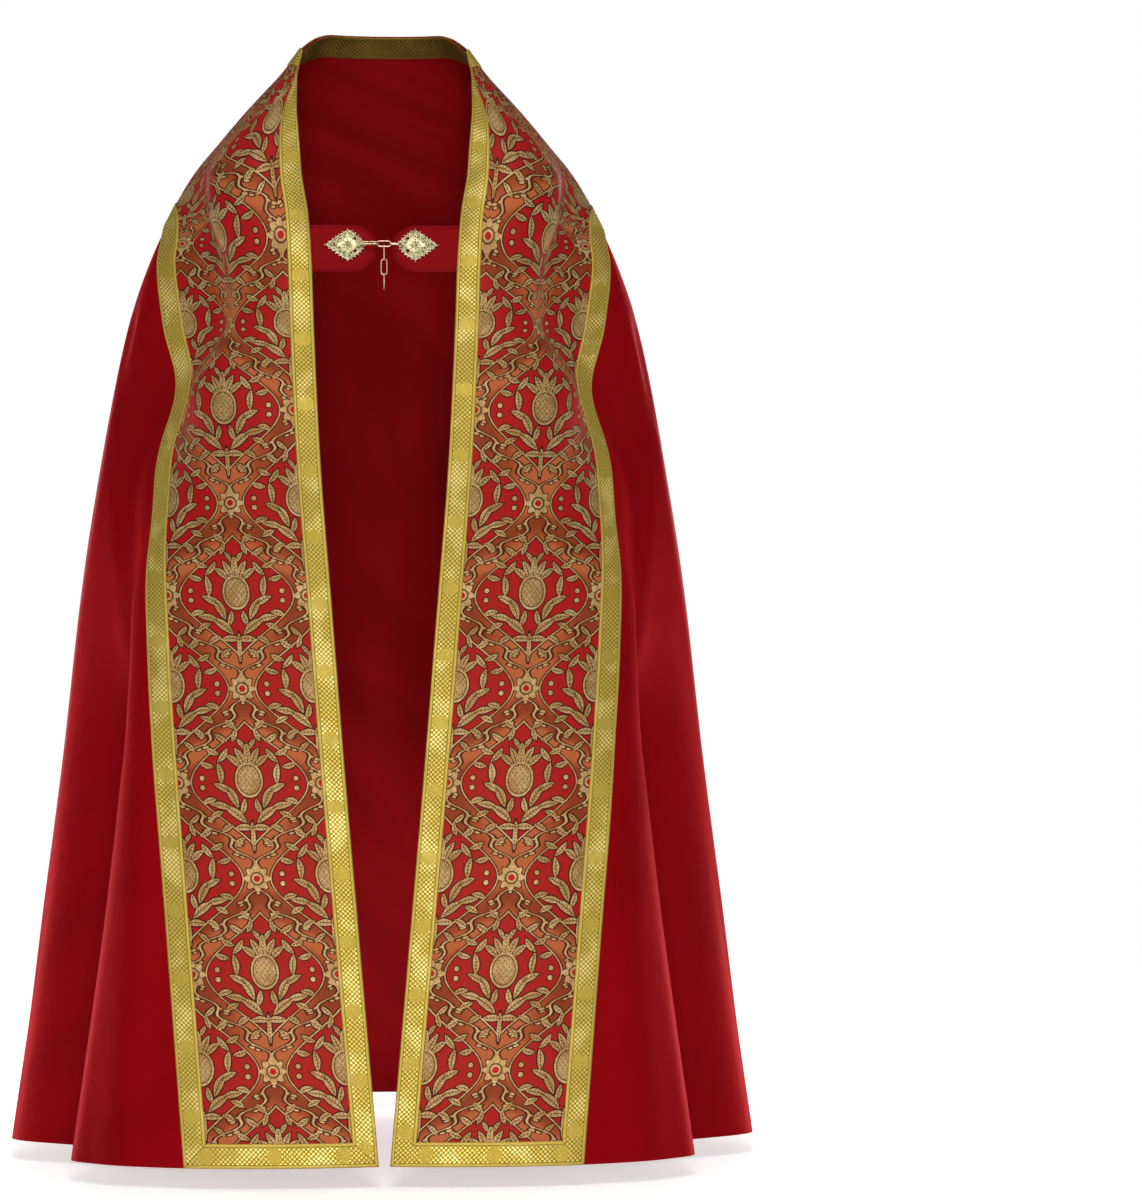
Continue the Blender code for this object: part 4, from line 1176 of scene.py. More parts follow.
@dataclass
class Plate:
    """A domed filigree diamond of pale gilt brass, with granules, scrolls and beaded thorns.

    Places on it are (x, t) in metres from its middle. Its chain leaves towards way.
    """

    centre_x: float
    way: Side  # the side that its point looks to
    outer_long: float = 27.2 * MM
    inner_long: float = 21.5 * MM
    half_tall: float = 20.4 * MM
    outer_power: float = 1.05  # 1 makes a diamond's straight sides, 2 an ellipse
    inner_power: float = 1.3
    thorns: int = 24
    thorn: float = 2.4 * MM
    crown: float = 3.0 * MM
    base: float = 1.0 * MM
    sheet_wall: float = 0.8 * MM
    wires: tuple = ((0.985, 0.25, 0.55), (0.90, 0.3, 0.34), (0.60, 0.3, 0.34))  # share out; lift, radius in mm
    granules: int = 60
    granules_at: float = 0.942
    petals: int = 8
    petals_at: float = 4.3 * MM
    holes: tuple = ((-16, 0), (9.3, -8.2), (9.3, 8.2))  # mm, x positive towards the chain
    hole: float = 2.2 * MM
    hole_ring: float = 2.5 * MM
    scrolls: tuple = (  # x and t in mm, size in mm, where each starts in half turns; the other half mirrors them
        (-11.2, 4.9, 2.3, 1.0), (-3.2, 10.8, 2.3, 0.5), (-9.2, 9.4, 1.6, 1.0), (-20.8, 1.9, 1.4, 1.0),
        (-3.0, 15.6, 1.3, 0.5), (2.6, 14.6, 1.6, 0.5), (12.4, 3.0, 1.9, 0.0), (4.2, 10.4, 1.6, 0.0),
    )  # fmt: skip
    scroll_turns: float = 1.2
    scroll_in: float = 0.78  # share of a scroll's radius that is lost on the way in
    boss: tuple = (2.4, 2.4, 1.3)  # mm
    petal: tuple = (1.25, 1.25, 0.7)
    thorn_radii: tuple = (1.25, 0.85, 0.5)
    thorn_bead: float = 0.95 * MM

    def side(self, x: Any) -> tuple[Array, Array]:
        """The outline's power and half length on the side of its middle that x is on."""
        inner = np.asarray(x) * self.way > 0
        return np.where(inner, self.inner_power, self.outer_power), np.where(inner, self.inner_long, self.outer_long)

    def reach(self, angle: Any, share: float = 1.0) -> Array:
        """The outline, or a smaller one inside it.

        Args:
            angle: the directions from the middle.
            share: how far out, as a share of the way.

        Returns:
            The (x, t) in those directions.
        """
        cosine, sine = np.cos(angle), np.sin(angle)
        power, long = self.side(cosine)
        out = (np.abs(cosine) ** power + np.abs(sine) ** power) ** (-1 / power) * share
        return np.stack([long * out * cosine, self.half_tall * out * sine], axis=-1)

    def on(self, places: Any, lift: float = 0.0) -> Array:
        """Points on the plate's domed face, or above it.

        Args:
            places: their (x, t).
            lift: metres above the face.

        Returns:
            The points.
        """
        places = np.asarray(places, float)
        power, long = self.side(places[..., 0])
        x, t = np.abs(places[..., 0]) / long, np.abs(places[..., 1]) / self.half_tall
        share = (x**power + t**power) ** (1 / power)
        height = SEAM + self.base + self.crown * np.clip(1 - share**1.8, 0, 1)
        return np.concatenate([places, (height + lift)[..., None]], axis=-1)

    def sheet(self, pile: Pile) -> None:
        """Adds the pierced back plate.

        Args:
            pile: what it is added to.
        """
        loops = [self.reach(circle(72), 0.99)]
        loops += [np.array((self.way * x, t)) * MM + self.hole * disc(14) for x, t in self.holes]
        work = bmesh.new()
        for loop in loops:
            verts = [work.verts.new((x, t, 0)) for x, t in loop]
            for ends in zip(verts, verts[1:] + verts[:1]):
                work.edges.new(ends)
        bmesh.ops.triangle_fill(work, edges=work.edges[:], use_beauty=True)
        bmesh.ops.subdivide_edges(work, edges=work.edges[:], cuts=2, use_grid_fill=True)
        work.verts.index_update()
        top = self.on([vertex.co[:2] for vertex in work.verts], -0.2 * MM)
        faces = [[vertex.index for vertex in face.verts] for face in work.faces]
        first = [edge.link_loops[0] for edge in work.edges if edge.is_boundary]
        rims = [(loop.vert.index, loop.link_loop_next.vert.index) for loop in first]
        if sum(face.normal.z for face in work.faces) <= 0:
            faces = [face[::-1] for face in faces]
            rims = [rim[::-1] for rim in rims]
        work.free()
        low = top - (0, 0, self.sheet_wall)
        low[:, 2] = np.maximum(low[:, 2], SEAM)
        count = len(top)
        both = faces + [[i + count for i in face[::-1]] for face in faces]
        both += [[b, a, a + count, b + count] for a, b in rims]
        pile.add(np.concatenate([top, low]), both)

    def scroll(self, pile: Pile, centre: tuple, size: float, start: float, flip: int) -> None:
        """Adds one spiral of wire, from its wide end in, closed by a granule.

        Args:
            pile: what it is added to.
            centre: its middle's (x, t), in mm.
            size: its radius in mm.
            start: the angle of its wide end.
            flip: 1 or -1, the way that it turns.
        """
        steps = np.linspace(0, 1, 26)
        angles = start + flip * self.scroll_turns * 2 * math.pi * steps
        radii = size * (1 - self.scroll_in * steps)
        places = np.column_stack([centre[0] + radii * np.cos(angles), centre[1] + radii * np.sin(angles)]) * MM
        pile.wire(self.on(places, 0.28 * MM), 0.36 * MM, 5)
        pile.bead(self.on(places[-1], 0.35 * MM), 0.62 * MM, 4, 7)

    def chase(self, pile: Pile) -> None:
        """Adds the wires, granules, scrolls and the raised boss.

        Args:
            pile: what they are added to.
        """
        turns = circle(96)
        for share, lift, radius in self.wires:
            path = self.on(self.reach(turns, share), lift * MM)
            path[:, 2] += 0.1 * MM * np.cos(turns * 48)
            pile.wire(path, radius * MM, 6, closed=True)
        for angle in circle(self.granules):
            pile.bead(self.on(self.reach(angle, self.granules_at), 0.25 * MM), 0.5 * MM, 4, 6)
        for x, t in self.holes:
            ring = np.array((self.way * x, t)) * MM + self.hole_ring * disc(20)
            pile.wire(self.on(ring, 0.3 * MM), 0.38 * MM, 5, closed=True)
        for x, t, size, start in self.scrolls:
            for half in (1, -1):
                turn = math.pi * (start if self.way > 0 else 1 - start) * half
                self.scroll(pile, (self.way * x, half * t), size, turn, half * self.way)
        for petal in self.petals_at * disc(self.petals):
            pile.bead(self.on(petal, 0.3 * MM), np.array(self.petal) * MM, 5, 9)
            pile.bead(self.on(petal * 1.62, 0.25 * MM), 0.6 * MM, 4, 7)
        pile.bead(self.on((0, 0), 0.5 * MM), np.array(self.boss) * MM, 6, 14)
        pile.bead(self.on((0, 0), 1.7 * MM), 0.8 * MM, 4, 8)

    def build(self, gilt: Finish, rosy: Finish, pile: Pile) -> Piece:
        """Makes the plate as one piece with its hook or eye.

        Args:
            gilt: its finish.
            rosy: the finish of its thorns.
            pile: its hook or eye, and their post.

        Returns:
            The object.
        """
        own = Pile()
        self.sheet(own)
        self.chase(own)
        tips = len(pile.faces) + len(own.faces)
        for angle in circle(self.thorns) + 1e-6:
            foot, out = self.reach(angle), np.array((math.cos(angle), math.sin(angle)))
            spots = [foot - out * 0.6 * MM, foot + out * 0.45 * self.thorn, foot + out * 0.8 * self.thorn]
            own.wire([(*spot, SEAM + 0.9 * MM) for spot in spots], np.array(self.thorn_radii) * MM, 7)
            own.bead((*(foot + out * (self.thorn - 0.75 * MM)), SEAM + 1.1 * MM), self.thorn_bead, 5, 9)
        pile.add(np.concatenate(own.points) + (self.centre_x, 0, 0), own.faces)
        made = pile.build([gilt, rosy], np.arange(len(pile.faces)) >= tips, 50)
        made.data.transform(CLASP_FRAME)
        return made


@dataclass
class Clasp:
    """The chain clasp: two tabs, two plates, the links between them and three spare links."""

    wire: float = 0.8 * MM
    out: float = 6.0 * MM
    link_width: float = 8.9 * MM
    hook_start: float = -31 * MM
    hook_bend: float = 2.4 * MM
    hook_half: float = 2.2 * MM
    hook_wrap: float = 0.95  # half turns that it bends through
    eye_x: float = 19.9 * MM
    eye_radius: float = 2.7 * MM
    post: float = 1.3 * MM
    post_foot: float = 1.2 * MM
    post_cap: float = 0.5 * MM
    centre_link: tuple = (-0.6 * MM, 19.2 * MM)  # its middle and its length
    right_link: tuple = (13.1 * MM, 15.6 * MM)
    spare_long: float = 21.5 * MM
    tilt: float = math.radians(60)

    def loop(self, length: float) -> Array:
        """A link's centre line in its own plane.

        Args:
            length: the link's length.

        Returns:
            Its points.
        """
        radius = self.link_width / 2 - self.wire
        straight = length / 2 - self.wire - radius
        turns = np.linspace(-math.pi / 2, math.pi / 2, 17)
        right = np.column_stack([straight + radius * np.cos(turns), radius * np.sin(turns)])
        high = paired(np.linspace(straight, -straight, 7)[1:-1], radius)
        return np.concatenate([right, high, -right, -high])

    def link(self, centre: Any, along: Any, across: Any, length: float, metal: Finish) -> Piece:
        """Makes one link.

        Args:
            centre: its middle.
            along: the direction of its length.
            across: the direction of its width.
            length: its length.
            metal: its finish.

        Returns:
            The object.
        """
        centre, along, across = (np.array(part, float) for part in (centre, along, across))
        pile = Pile()
        pile.wire([centre + a * along + b * across for a, b in self.loop(length)], self.wire, 10, closed=True)
        return pile.build([metal])

    def posted(self, path: Any, x: float, top: float) -> Pile:
        """A closed wire on a post with a flat cap.

        Args:
            path: the wire's centre line.
            x: where the post stands.
            top: how high it reaches.

        Returns:
            The wire and the post.
        """
        pile = Pile()
        pile.wire(path, self.wire, 9, closed=True)
        pile.wire([(x, 0, self.post_foot), (x, 0, top)], self.post, 14)
        pile.bead((x, 0, top), np.array((self.post, self.post, self.post_cap)), 5, 14)
        return pile

    def hook(self) -> Pile:
        """The narrow wire loop that bends round the centre link's end, on its post.

        Returns:
            The wire and the post.
        """
        wire_x = self.centre_link[0] - self.centre_link[1] / 2 + self.wire
        flat = wire_x - self.hook_start
        total = flat + math.pi * self.hook_bend * self.hook_wrap
        half = self.hook_half - self.wire
        path = []
        stations = [*np.linspace(0, flat, 8)[:-1], *np.linspace(flat, total, 14)]
        for way, runs in ((1, stations), (-1, stations[::-1])):
            for run in runs:
                angle = max(run - flat, 0) / self.hook_bend
                x = min(self.hook_start + run, wire_x) + self.hook_bend * math.sin(angle)
                path.append((x, way * half, self.out + self.hook_bend * math.cos(angle)))
        return self.posted(path, self.hook_start + self.wire / 2, self.out + self.hook_bend + self.wire / 3)

    def eye(self) -> Pile:
        """The ring on the other plate, on its post."""
        ring = (self.eye_x, 0) + self.eye_radius * disc(28)
        return self.posted(np.pad(ring, ((0, 0), (0, 1)), constant_values=self.out), self.eye_x + self.eye_radius,
                           self.out + self.wire / 3)

    def links(self, rosy: Finish) -> dict[str, Piece]:
        """Makes the two joining links and the three spare ones.

        Args:
            rosy: their finish.

        Returns:
            Each by its node's name.
        """
        made = {}
        tilted = (0, math.cos(self.tilt), math.sin(self.tilt))
        for name, (x, length), across in (
            ("link_centre", self.centre_link, (0, 1, 0)),
            ("link_right", self.right_link, tilted),
        ):
            made[name] = self.link((x, 0, self.out), (1, 0, 0), across, length, rosy)
            made[name].data.transform(CLASP_FRAME)
        hang = CLASP_FRAME @ Vector((self.centre_link[0], self.link_width / 2 - self.wire, self.out))
        middle = 3 * self.wire + SEAM - self.spare_long / 2
        for name, across in (("link_a", (0, 1, 0)), ("link_b", (1, 0, 0)), ("link_c", (0, 1, 0))):
            made[name] = self.link(hang + Vector((0, 0, middle)), (0, 0, 1), across, self.spare_long, rosy)
            hang = hang + Vector((0, 0, middle - self.spare_long / 2 + self.wire))
        return made


# Finishes ----------------------------------------------------


def to_linear(code: str) -> tuple[float, float, float, float]:
    """An sRGB hex colour as linear light."""
    parts = [int(code[i : i + 2], 16) / 255 for i in (1, 3, 5)]
    return (*(p / 12.92 if p <= 0.04045 else ((p + 0.055) / 1.055) ** 2.4 for p in parts), 1.0)


def rate(period: float) -> float:
    """The radians to a millimetre of a wave that repeats after this many millimetres."""
    return round(2 * math.pi / period, 4)


def feed(tree: Any, socket: Socket, value: Any) -> None:
    """Links another node's output to a socket, or sets the socket to a plain value.

    Args:
        tree: the node tree.
        socket: the input socket.
        value: an output socket, a value, or a string that starts with # for a colour.
    """
    if isinstance(value, Socket):
        tree.links.new(value, socket)
    else:
        socket.default_value = to_linear(value) if isinstance(value, str) else value


def add_node(tree: Any, kind: str, settings: dict | None = None, **links: Any) -> Any:
    """Adds a node.

    Args:
        tree: the node tree.
        kind: the node's type, without "ShaderNode".
        settings: its own properties.
        links: what goes into its sockets, by name with _ for a space, or by number as n0, n1.

    Returns:
        The node.
    """
    node = tree.nodes.new("ShaderNode" + kind)
    for key, value in (settings or {}).items():
        setattr(node, key, value)
    for key, value in links.items():
        feed(tree, node.inputs[int(key[1:]) if re.fullmatch(r"n\d+", key) else key.replace("_", " ")], value)
    return node


OPERATORS = {ast.Add: "ADD", ast.Sub: "SUBTRACT", ast.Mult: "MULTIPLY", ast.Div: "DIVIDE"}
PLAIN = {"ADD": operator.add, "SUBTRACT": operator.sub, "MULTIPLY": operator.mul, "DIVIDE": operator.truediv}
CALLS = {
    "sin": "SINE", "cos": "COSINE", "abs": "ABSOLUTE", "fract": "FRACT", "round": "ROUND", "min": "MINIMUM",
    "max": "MAXIMUM", "sqrt": "SQRT", "atan2": "ARCTAN2", "less": "LESS_THAN", "more": "GREATER_THAN", "sign": "SIGN",
}  # fmt: skip


class Weave:
    """Works out a material's numbers as nodes, from formulas written as text."""

    def __init__(self, name: str) -> None:
        """Starts a material."""
        self.material = bpy.data.materials.new(name)
        self.material.use_nodes = True
        self.tree = self.material.node_tree
        self.known: dict[str, Any] = {}

    def cloth(self) -> Socket:
        """Reads the cloth's own coordinates, and keeps them as the numbers x and y.

        Returns:
            The coordinates, in millimetres.
        """
        place = self.scaled(add_node(self.tree, "UVMap", {"uv_map": "cloth"}).outputs[0])
        self.known["x"], self.known["y"] = self.split(place)
        return place

    def solid(self, scale: float = 1000.0) -> Socket:
        """The object's own coordinates, in millimetres unless scale says otherwise."""
        return self.scaled(add_node(self.tree, "TexCoord").outputs["Object"], scale)

    def scaled(self, place: Socket, scale: float = 1000.0) -> Socket:
        """Coordinates times a number."""
        return add_node(self.tree, "VectorMath", {"operation": "SCALE"}, n0=place, Scale=scale).outputs[0]

    def split(self, vector: Socket) -> tuple[Socket, Socket]:
        """A vector's X and Y."""
        parts = add_node(self.tree, "SeparateXYZ", None, Vector=vector)
        return parts.outputs[0], parts.outputs[1]

    def let(self, **values: Any) -> None:
        """Works out formulas in order, and keeps each result under its name."""
        for name, value in values.items():
            self.known[name] = self.work(value)

    def work(self, value: Any) -> Any:
        """What a formula comes to: a socket, or a number where nothing in it is a socket.

        Args:
            value: a formula, or a socket, number or colour that stands for itself.

        Returns:
            The result.
        """
        if not isinstance(value, str) or value.startswith("#"):
            return value
        return self.walk(ast.parse(value).body[0].value)

    def walk(self, part: ast.AST) -> Any:
        """Works out one part of a formula.

        Args:
            part: a number, a known name, a sum or a call.

        Returns:
            The result.
        """
        if isinstance(part, ast.Constant):
            return float(part.value)
        if isinstance(part, ast.Name):
            return self.known[part.id]
        if isinstance(part, ast.UnaryOp):
            return self.maths("MULTIPLY", self.walk(part.operand), -1.0)
        if isinstance(part, ast.BinOp):
            return self.maths(OPERATORS[type(part.op)], self.walk(part.left), self.walk(part.right))
        values = [self.walk(each) for each in part.args]
        if part.func.id == "far":  # how far a place is from another, from the two distances across and up
            squares = [self.maths("MULTIPLY", value, value) for value in values]
            return self.maths("SQRT", self.maths("ADD", *squares))
        if part.func.id == "ramp":  # 0 below low, 1 above high, and eased between
            x, low, high = values
            node = add_node(self.tree, "MapRange", {"interpolation_type": "SMOOTHSTEP"}, n0=x, n1=low, n2=high)
            return node.outputs[0]
        return self.maths(CALLS[part.func.id], *values)

    def maths(self, operation: str, *values: Any) -> Any:
        """Does one sum, at once where every value is a number.

        Args:
            operation: the Math node's operation.
            values: what it works on.

        Returns:
            The result.
        """
        if operation in PLAIN and not any(isinstance(value, Socket) for value in values):
            return PLAIN[operation](*values)
        links = {f"n{i}": value for i, value in enumerate(values)}
        return add_node(self.tree, "Math", {"operation": operation}, **links).outputs[0]

    def noise(self, place: Any, size: float, detail: float = 2.0, stretch: tuple = (1, 1, 1)) -> Socket:
        """Soft noise from 0 to 1.

        Args:
            place: coordinates in millimetres.
            size: about how many millimetres its blobs are across.
            detail: how many finer layers it has.
            stretch: how many times longer its blobs are along each axis.

        Returns:
            Its value.
        """
        scale = tuple(1 / (size * each) for each in stretch)
        moved = add_node(self.tree, "Mapping", None, Vector=place, Scale=scale).outputs[0]
        return add_node(self.tree, "TexNoise", None, Vector=moved, Scale=1.0, Detail=detail).outputs[0]

    def paint(self, ground: Any, *layers: tuple[Any, str]) -> Any:
        """Lays colours over a ground.

        Args:
            ground: the colour under all.
            layers: each colour, and its mask from 0 to 1.

        Returns:
            The colour.
        """
        for colour, mask in layers:
            mix = add_node(self.tree, "Mix", {"data_type": "RGBA"}, n0=self.work(mask), n6=ground, n7=colour)
            ground = mix.outputs[2]
        return ground

    def finish(self, colour: Any, height: Any = None, depth_mm: float = 0.1, **sockets: Any) -> Finish:
        """Sets the shader.

        Args:
            colour: the base colour.
            height: the relief, from 0 to 1, or None.
            depth_mm: how deep the relief is.
            sockets: other values for the shader, by socket name with _ for a space.

        Returns:
            The material.
        """
        if height is not None:
            relief = add_node(self.tree, "Bump", None, Height=self.work(height), Distance=depth_mm * MM, Strength=1.0)
            sockets["Normal"] = relief.outputs[0]
        shader = self.tree.nodes["Principled BSDF"]
        for key, value in {**sockets, "Base Color": colour}.items():
            feed(self.tree, shader.inputs[key.replace("_", " ")], self.work(value))
        return self.material


@dataclass(frozen=True)
class Satin:
    """Red duchesse satin, silk with its warp floats on the face: smooth, with a long soft sheen."""

    name: str = "red duchesse satin"
    ground: str = "#920a11"
    shade: str = "#78070d"
    glow: str = "#f81229"
    roughness: float = 0.50
    thread_mm: float = 0.9  # real threads are 0.1 mm; drawn as coarse as they need to show
    slub_mm: float = 7.0
    cloud_mm: float = 160.0
    metallic: float = 0.28  # stands in for the tight highlights of silk floats
    sheen: float = 0.35

    def make(self) -> Finish:
        """Makes the material.

        Returns:
            The material.
        """
        w = Weave(self.name)
        place = w.cloth()
        w.let(
            slub=w.noise(place, self.slub_mm, 3.0, (1, 14, 1)),
            cloud=w.noise(place, self.cloud_mm, 3.0, (1, 2.2, 1)),
            warp=f"0.5+0.5*sin(x*{rate(self.thread_mm)})",
            weft=f"0.5+0.5*sin(y*{rate(5 * self.thread_mm)}+x*3.1)",
        )
        colour = w.paint(self.ground, (self.shade, "0.55*ramp(cloud,0.42,0.75)+0.12*ramp(slub,0.5,0.8)"))
        w.let(relief="0.45*slub+0.3*warp*0.4+0.12*weft+0.35*cloud")
        return w.finish(
            colour, "relief", 0.28, Roughness=f"{self.roughness}+0.10*(slub-0.5)",
            Metallic=self.metallic, Specular_IOR_Level=0.0, Sheen_Weight=self.sheen, Sheen_Roughness=0.35,
            Sheen_Tint=self.glow,
        )  # fmt: skip


@dataclass(frozen=True)
class Lining:
    """Dark red cotton sateen, the lining: nearly matt, with a fine even weave."""

    name: str = "dark red sateen lining"
    ground: str = "#80090e"
    shade: str = "#70070c"
    thread_mm: float = 1.1
    cloud_mm: float = 90.0

    def make(self) -> Finish:
        """Makes the material.

        Returns:
            The material.
        """
        w = Weave(self.name)
        place = w.cloth()
        w.let(cloud=w.noise(place, self.cloud_mm, 3.0, (1, 3, 1)), grain=w.noise(place, self.thread_mm, 1.0))
        colour = w.paint(self.ground, (self.shade, "ramp(cloud,0.35,0.7)"))
        return w.finish(
            colour, "0.5*grain+0.6*cloud", 0.2, Roughness=0.6, Specular_IOR_Level=0.12, Specular_Tint="#ff6a70"
        )  # fmt: skip


class Leaf(NamedTuple):
    """A pointed leaf of the brocade, in millimetres from its repeat's middle."""

    x: float
    y: float
    turn: float  # degrees from the X axis
    long: float
    wide: float


POMEGRANATE = (
    Leaf(0, 36, 90, 26, 9), Leaf(9, 33, 66, 25, 8), Leaf(17, 28, 42, 22, 8), Leaf(7, 49, 58, 15, 5),
    Leaf(22, -16, 62, 32, 10), Leaf(33, -6, 30, 24, 8), Leaf(35, 12, 84, 26, 8), Leaf(19, -38, 38, 34, 10),
    Leaf(37, -28, 12, 26, 8), Leaf(10, -55, 0, 24, 8), Leaf(0, -66, 90, 36, 6), Leaf(9, -29, 105, 20, 7),
    Leaf(30, 34, 128, 22, 7), Leaf(14, 60, 108, 18, 6),
)  # fmt: skip
"""The gold leaves round the pomegranate, right half; the other half mirrors them."""
CROCKETS = (
    Leaf(51, 22, 196, 18, 7), Leaf(43, 39, 205, 18, 7), Leaf(31, 56, 212, 18, 7), Leaf(18, 73, 222, 18, 6),
)  # fmt: skip
"""Gold leaves that spring from the lattice into the red, for one quarter of a compartment."""


@dataclass(frozen=True)
class Brocade:
    """Silk brocade on a loom: red ground, a copper ogee lattice, and pomegranates and leaves in gold thread."""

    name: str = "red and gold silk brocade"
    repeat_x: float = 178.0  # mm between two lattice nodes on one level
    repeat_y: float = 236.0
    band: float = 17.0  # half the copper band's width, mm
    ground: str = "#a80c14"
    copper: str = "#97431f"
    copper_light: str = "#b9663a"
    copper_dark: str = "#6d2412"
    gold: str = "#aa8650"
    gold_light: str = "#d4b882"
    dark: str = "#240406"
    vein_mm: float = 4.2
    rib_mm: float = 1.5  # real ribs are 0.4 mm; drawn as coarse as they need to show

    def leaves(self, w: Weave, place: Socket, table: tuple) -> tuple[Socket, Socket]:
        """Draws a table of leaves.

        Args:
            w: the material's formulas.
            place: coordinates in the repeat, in millimetres.
            table: the leaves.

        Returns:
            The distance in mm outside the nearest leaf's edge, and 1 on the leaves' veins.
        """
        outside, veins = None, None
        for leaf in table:
            spot = add_node(
                w.tree, "Mapping", {"vector_type": "TEXTURE"}, Vector=place, Location=(leaf.x, leaf.y, 0),
                Rotation=(0, 0, math.radians(leaf.turn)), Scale=(leaf.long / 2, leaf.wide / 2, 1),
            ).outputs[0]  # fmt: skip
            w.known["p"], w.known["q"] = w.split(spot)
            w.let(
                bent="abs(q+0.35*p*p-0.12)",
                v="bent+p*p-1",
                comb=f"fract(p*{leaf.long / 2 / self.vein_mm:.3f}-bent*{leaf.wide / 2 / self.vein_mm:.3f}+9)",
                line="max(less(comb,0.24),less(bent,0.14))*less(v,-0.22)*less(p,0.8)",
            )
            near, vein = w.work(f"v*{leaf.wide * 0.42}"), w.known["line"]
            outside = near if outside is None else w.maths("MINIMUM", outside, near)
            veins = vein if veins is None else w.maths("MAXIMUM", veins, vein)
        return outside, veins

    def make(self) -> Finish:
        """Makes the material.

        Returns:
            The material.
        """
        w = Weave(self.name)
        place = w.cloth()
        wide, tall = self.repeat_x, self.repeat_y
        wave = 2 * math.pi / tall
        w.let(wobble=w.noise(place, 3.0, 1.0), haze=w.noise(place, 26.0, 2.0))
        w.let(
            ax=f"abs(x-{wide}*round(x/{wide}))",
            cy=f"y-{tall}*round(y/{tall})",
            edge=f"{wide / 4}+{wide / 4}*cos(cy*{wave})",
            inside="less(ax,edge)",
            lx=f"inside*ax+(1-inside)*({wide / 2}-ax)",
            ly=f"cy-(1-inside)*sign(cy)*{tall / 2}",
            aly="abs(ly)",
            slope=f"{wide / 4 * wave}*sin(ly*{wave})",
            inward=f"({wide / 4}+{wide / 4}*cos(ly*{wave})-lx)/sqrt(1+slope*slope)",
            across="inward*(1-2*inside)",
        )
        local = add_node(w.tree, "CombineXYZ", None, X=w.known["lx"], Y=w.known["ly"]).outputs[0]
        quarter = add_node(w.tree, "CombineXYZ", None, X=w.known["lx"], Y=w.known["aly"]).outputs[0]
        near, veins = self.leaves(w, local, POMEGRANATE)
        side, side_veins = self.leaves(w, quarter, CROCKETS)
        w.let(near=near, veins=veins, side=side, side_veins=side_veins)
        vine = tall / 8
        w.let(
            fruit="(far(lx/17,(ly-4)/22)-1)*17",
            node=f"min(far(lx-{wide / 2},ly),far(lx,aly-{tall / 2}))",
            spin=f"atan2(aly-{tall / 2}*less(lx,{wide / 4}),lx-{wide / 2}*more(lx,{wide / 4}))",
            rose="node-14.5-2.4*cos(spin*8)",
            ring="abs(node-7.5)-0.5",
            eye="node-4.0",
            stem=f"abs(across-5*sin(cy*{2 * math.pi / vine:.5f}))*0.72-0.75",
            beat=f"cy*{1 / vine:.6f}+0.25",
            drop=f"(fract(beat*2)-0.5)*{vine / 2 * 1.35:.3f}",
            way="sign(fract(beat)-0.5)",
            berries="min(far(drop,across+way*7.5)-2.3,far(abs(drop)-4.2,across+way*4.2)-1.9)",
            line=f"abs(inward-{self.band})-0.8",
            pips=f"far(lx-{wide / 2 - 31},aly-6)-3.0",
            figure="min(min(near,side),min(fruit,pips))",
            drawn="min(min(figure,rose),min(line,min(stem,berries)))",
            copperland=f"(1-ramp(inward,{self.band - 0.4},{self.band + 0.4}))",
            outline="(1-ramp(drawn,1.1,1.8))",
            gilded="(1-ramp(drawn,-0.25,0.25))",
            scale_a="abs(fract((lx+ly*0.8)/6.4)-0.5)",
            scale_b="abs(fract((lx-ly*0.8)/6.4)-0.5)",
            seeds="max(max(more(max(scale_a,scale_b),0.43),less(scale_a+scale_b,0.17))*less(fruit,-3.6),"
            "less(abs(fruit+2.9),0.7))*less(fruit,0)",
            engraved="max(max(veins*less(fruit,99),side_veins),seeds)",
            petal="max(less(abs(ring),0.6),less(abs(cos(spin*4)),0.16)*more(node,8.5))*less(rose,-1.0)",
            rosy="(1-ramp(eye,-0.4,0.4))",
            glow=f"0.5+0.5*sin(cy*{2 * wave:.5f}+across*0.09)",
        )
        colour = w.paint(
            self.ground,
            ("#8a0a10", "0.5*ramp(wobble,0.3,0.75)"),
            (self.copper, "copperland"),
            (self.copper_light, "0.75*copperland*ramp(glow*0.6+haze*0.4,0.45,0.75)"),
            (self.copper_dark, "0.55*copperland*(1-ramp(glow*0.6+haze*0.4,0.2,0.5))"),
            (self.dark, "outline"),
            (self.gold, "gilded"),
            (self.gold_light, "0.7*gilded*ramp(wobble*0.5+haze*0.5,0.42,0.62)"),
            (self.dark, "0.82*engraved*gilded"),
            (self.dark, "0.85*petal*gilded"),
            (self.ground, "rosy"),
        )
        w.let(
            ribs=f"0.5+0.5*sin(y*{rate(self.rib_mm)})",
            twill=f"0.5+0.5*sin((x+y)*{rate(1.3 * self.rib_mm)})",
            relief="0.55*gilded-0.25*outline+gilded*0.22*twill+(1-gilded)*0.10*ribs+0.15*wobble-0.3*engraved*gilded",
        )
        return w.finish(
            colour, "relief", 0.30, Roughness="0.50-0.08*gilded+0.08*wobble", Metallic="0.25*gilded",
            Sheen_Weight=0.06, Sheen_Tint="#ff8a70", Specular_Tint="#ff9c80",
        )  # fmt: skip


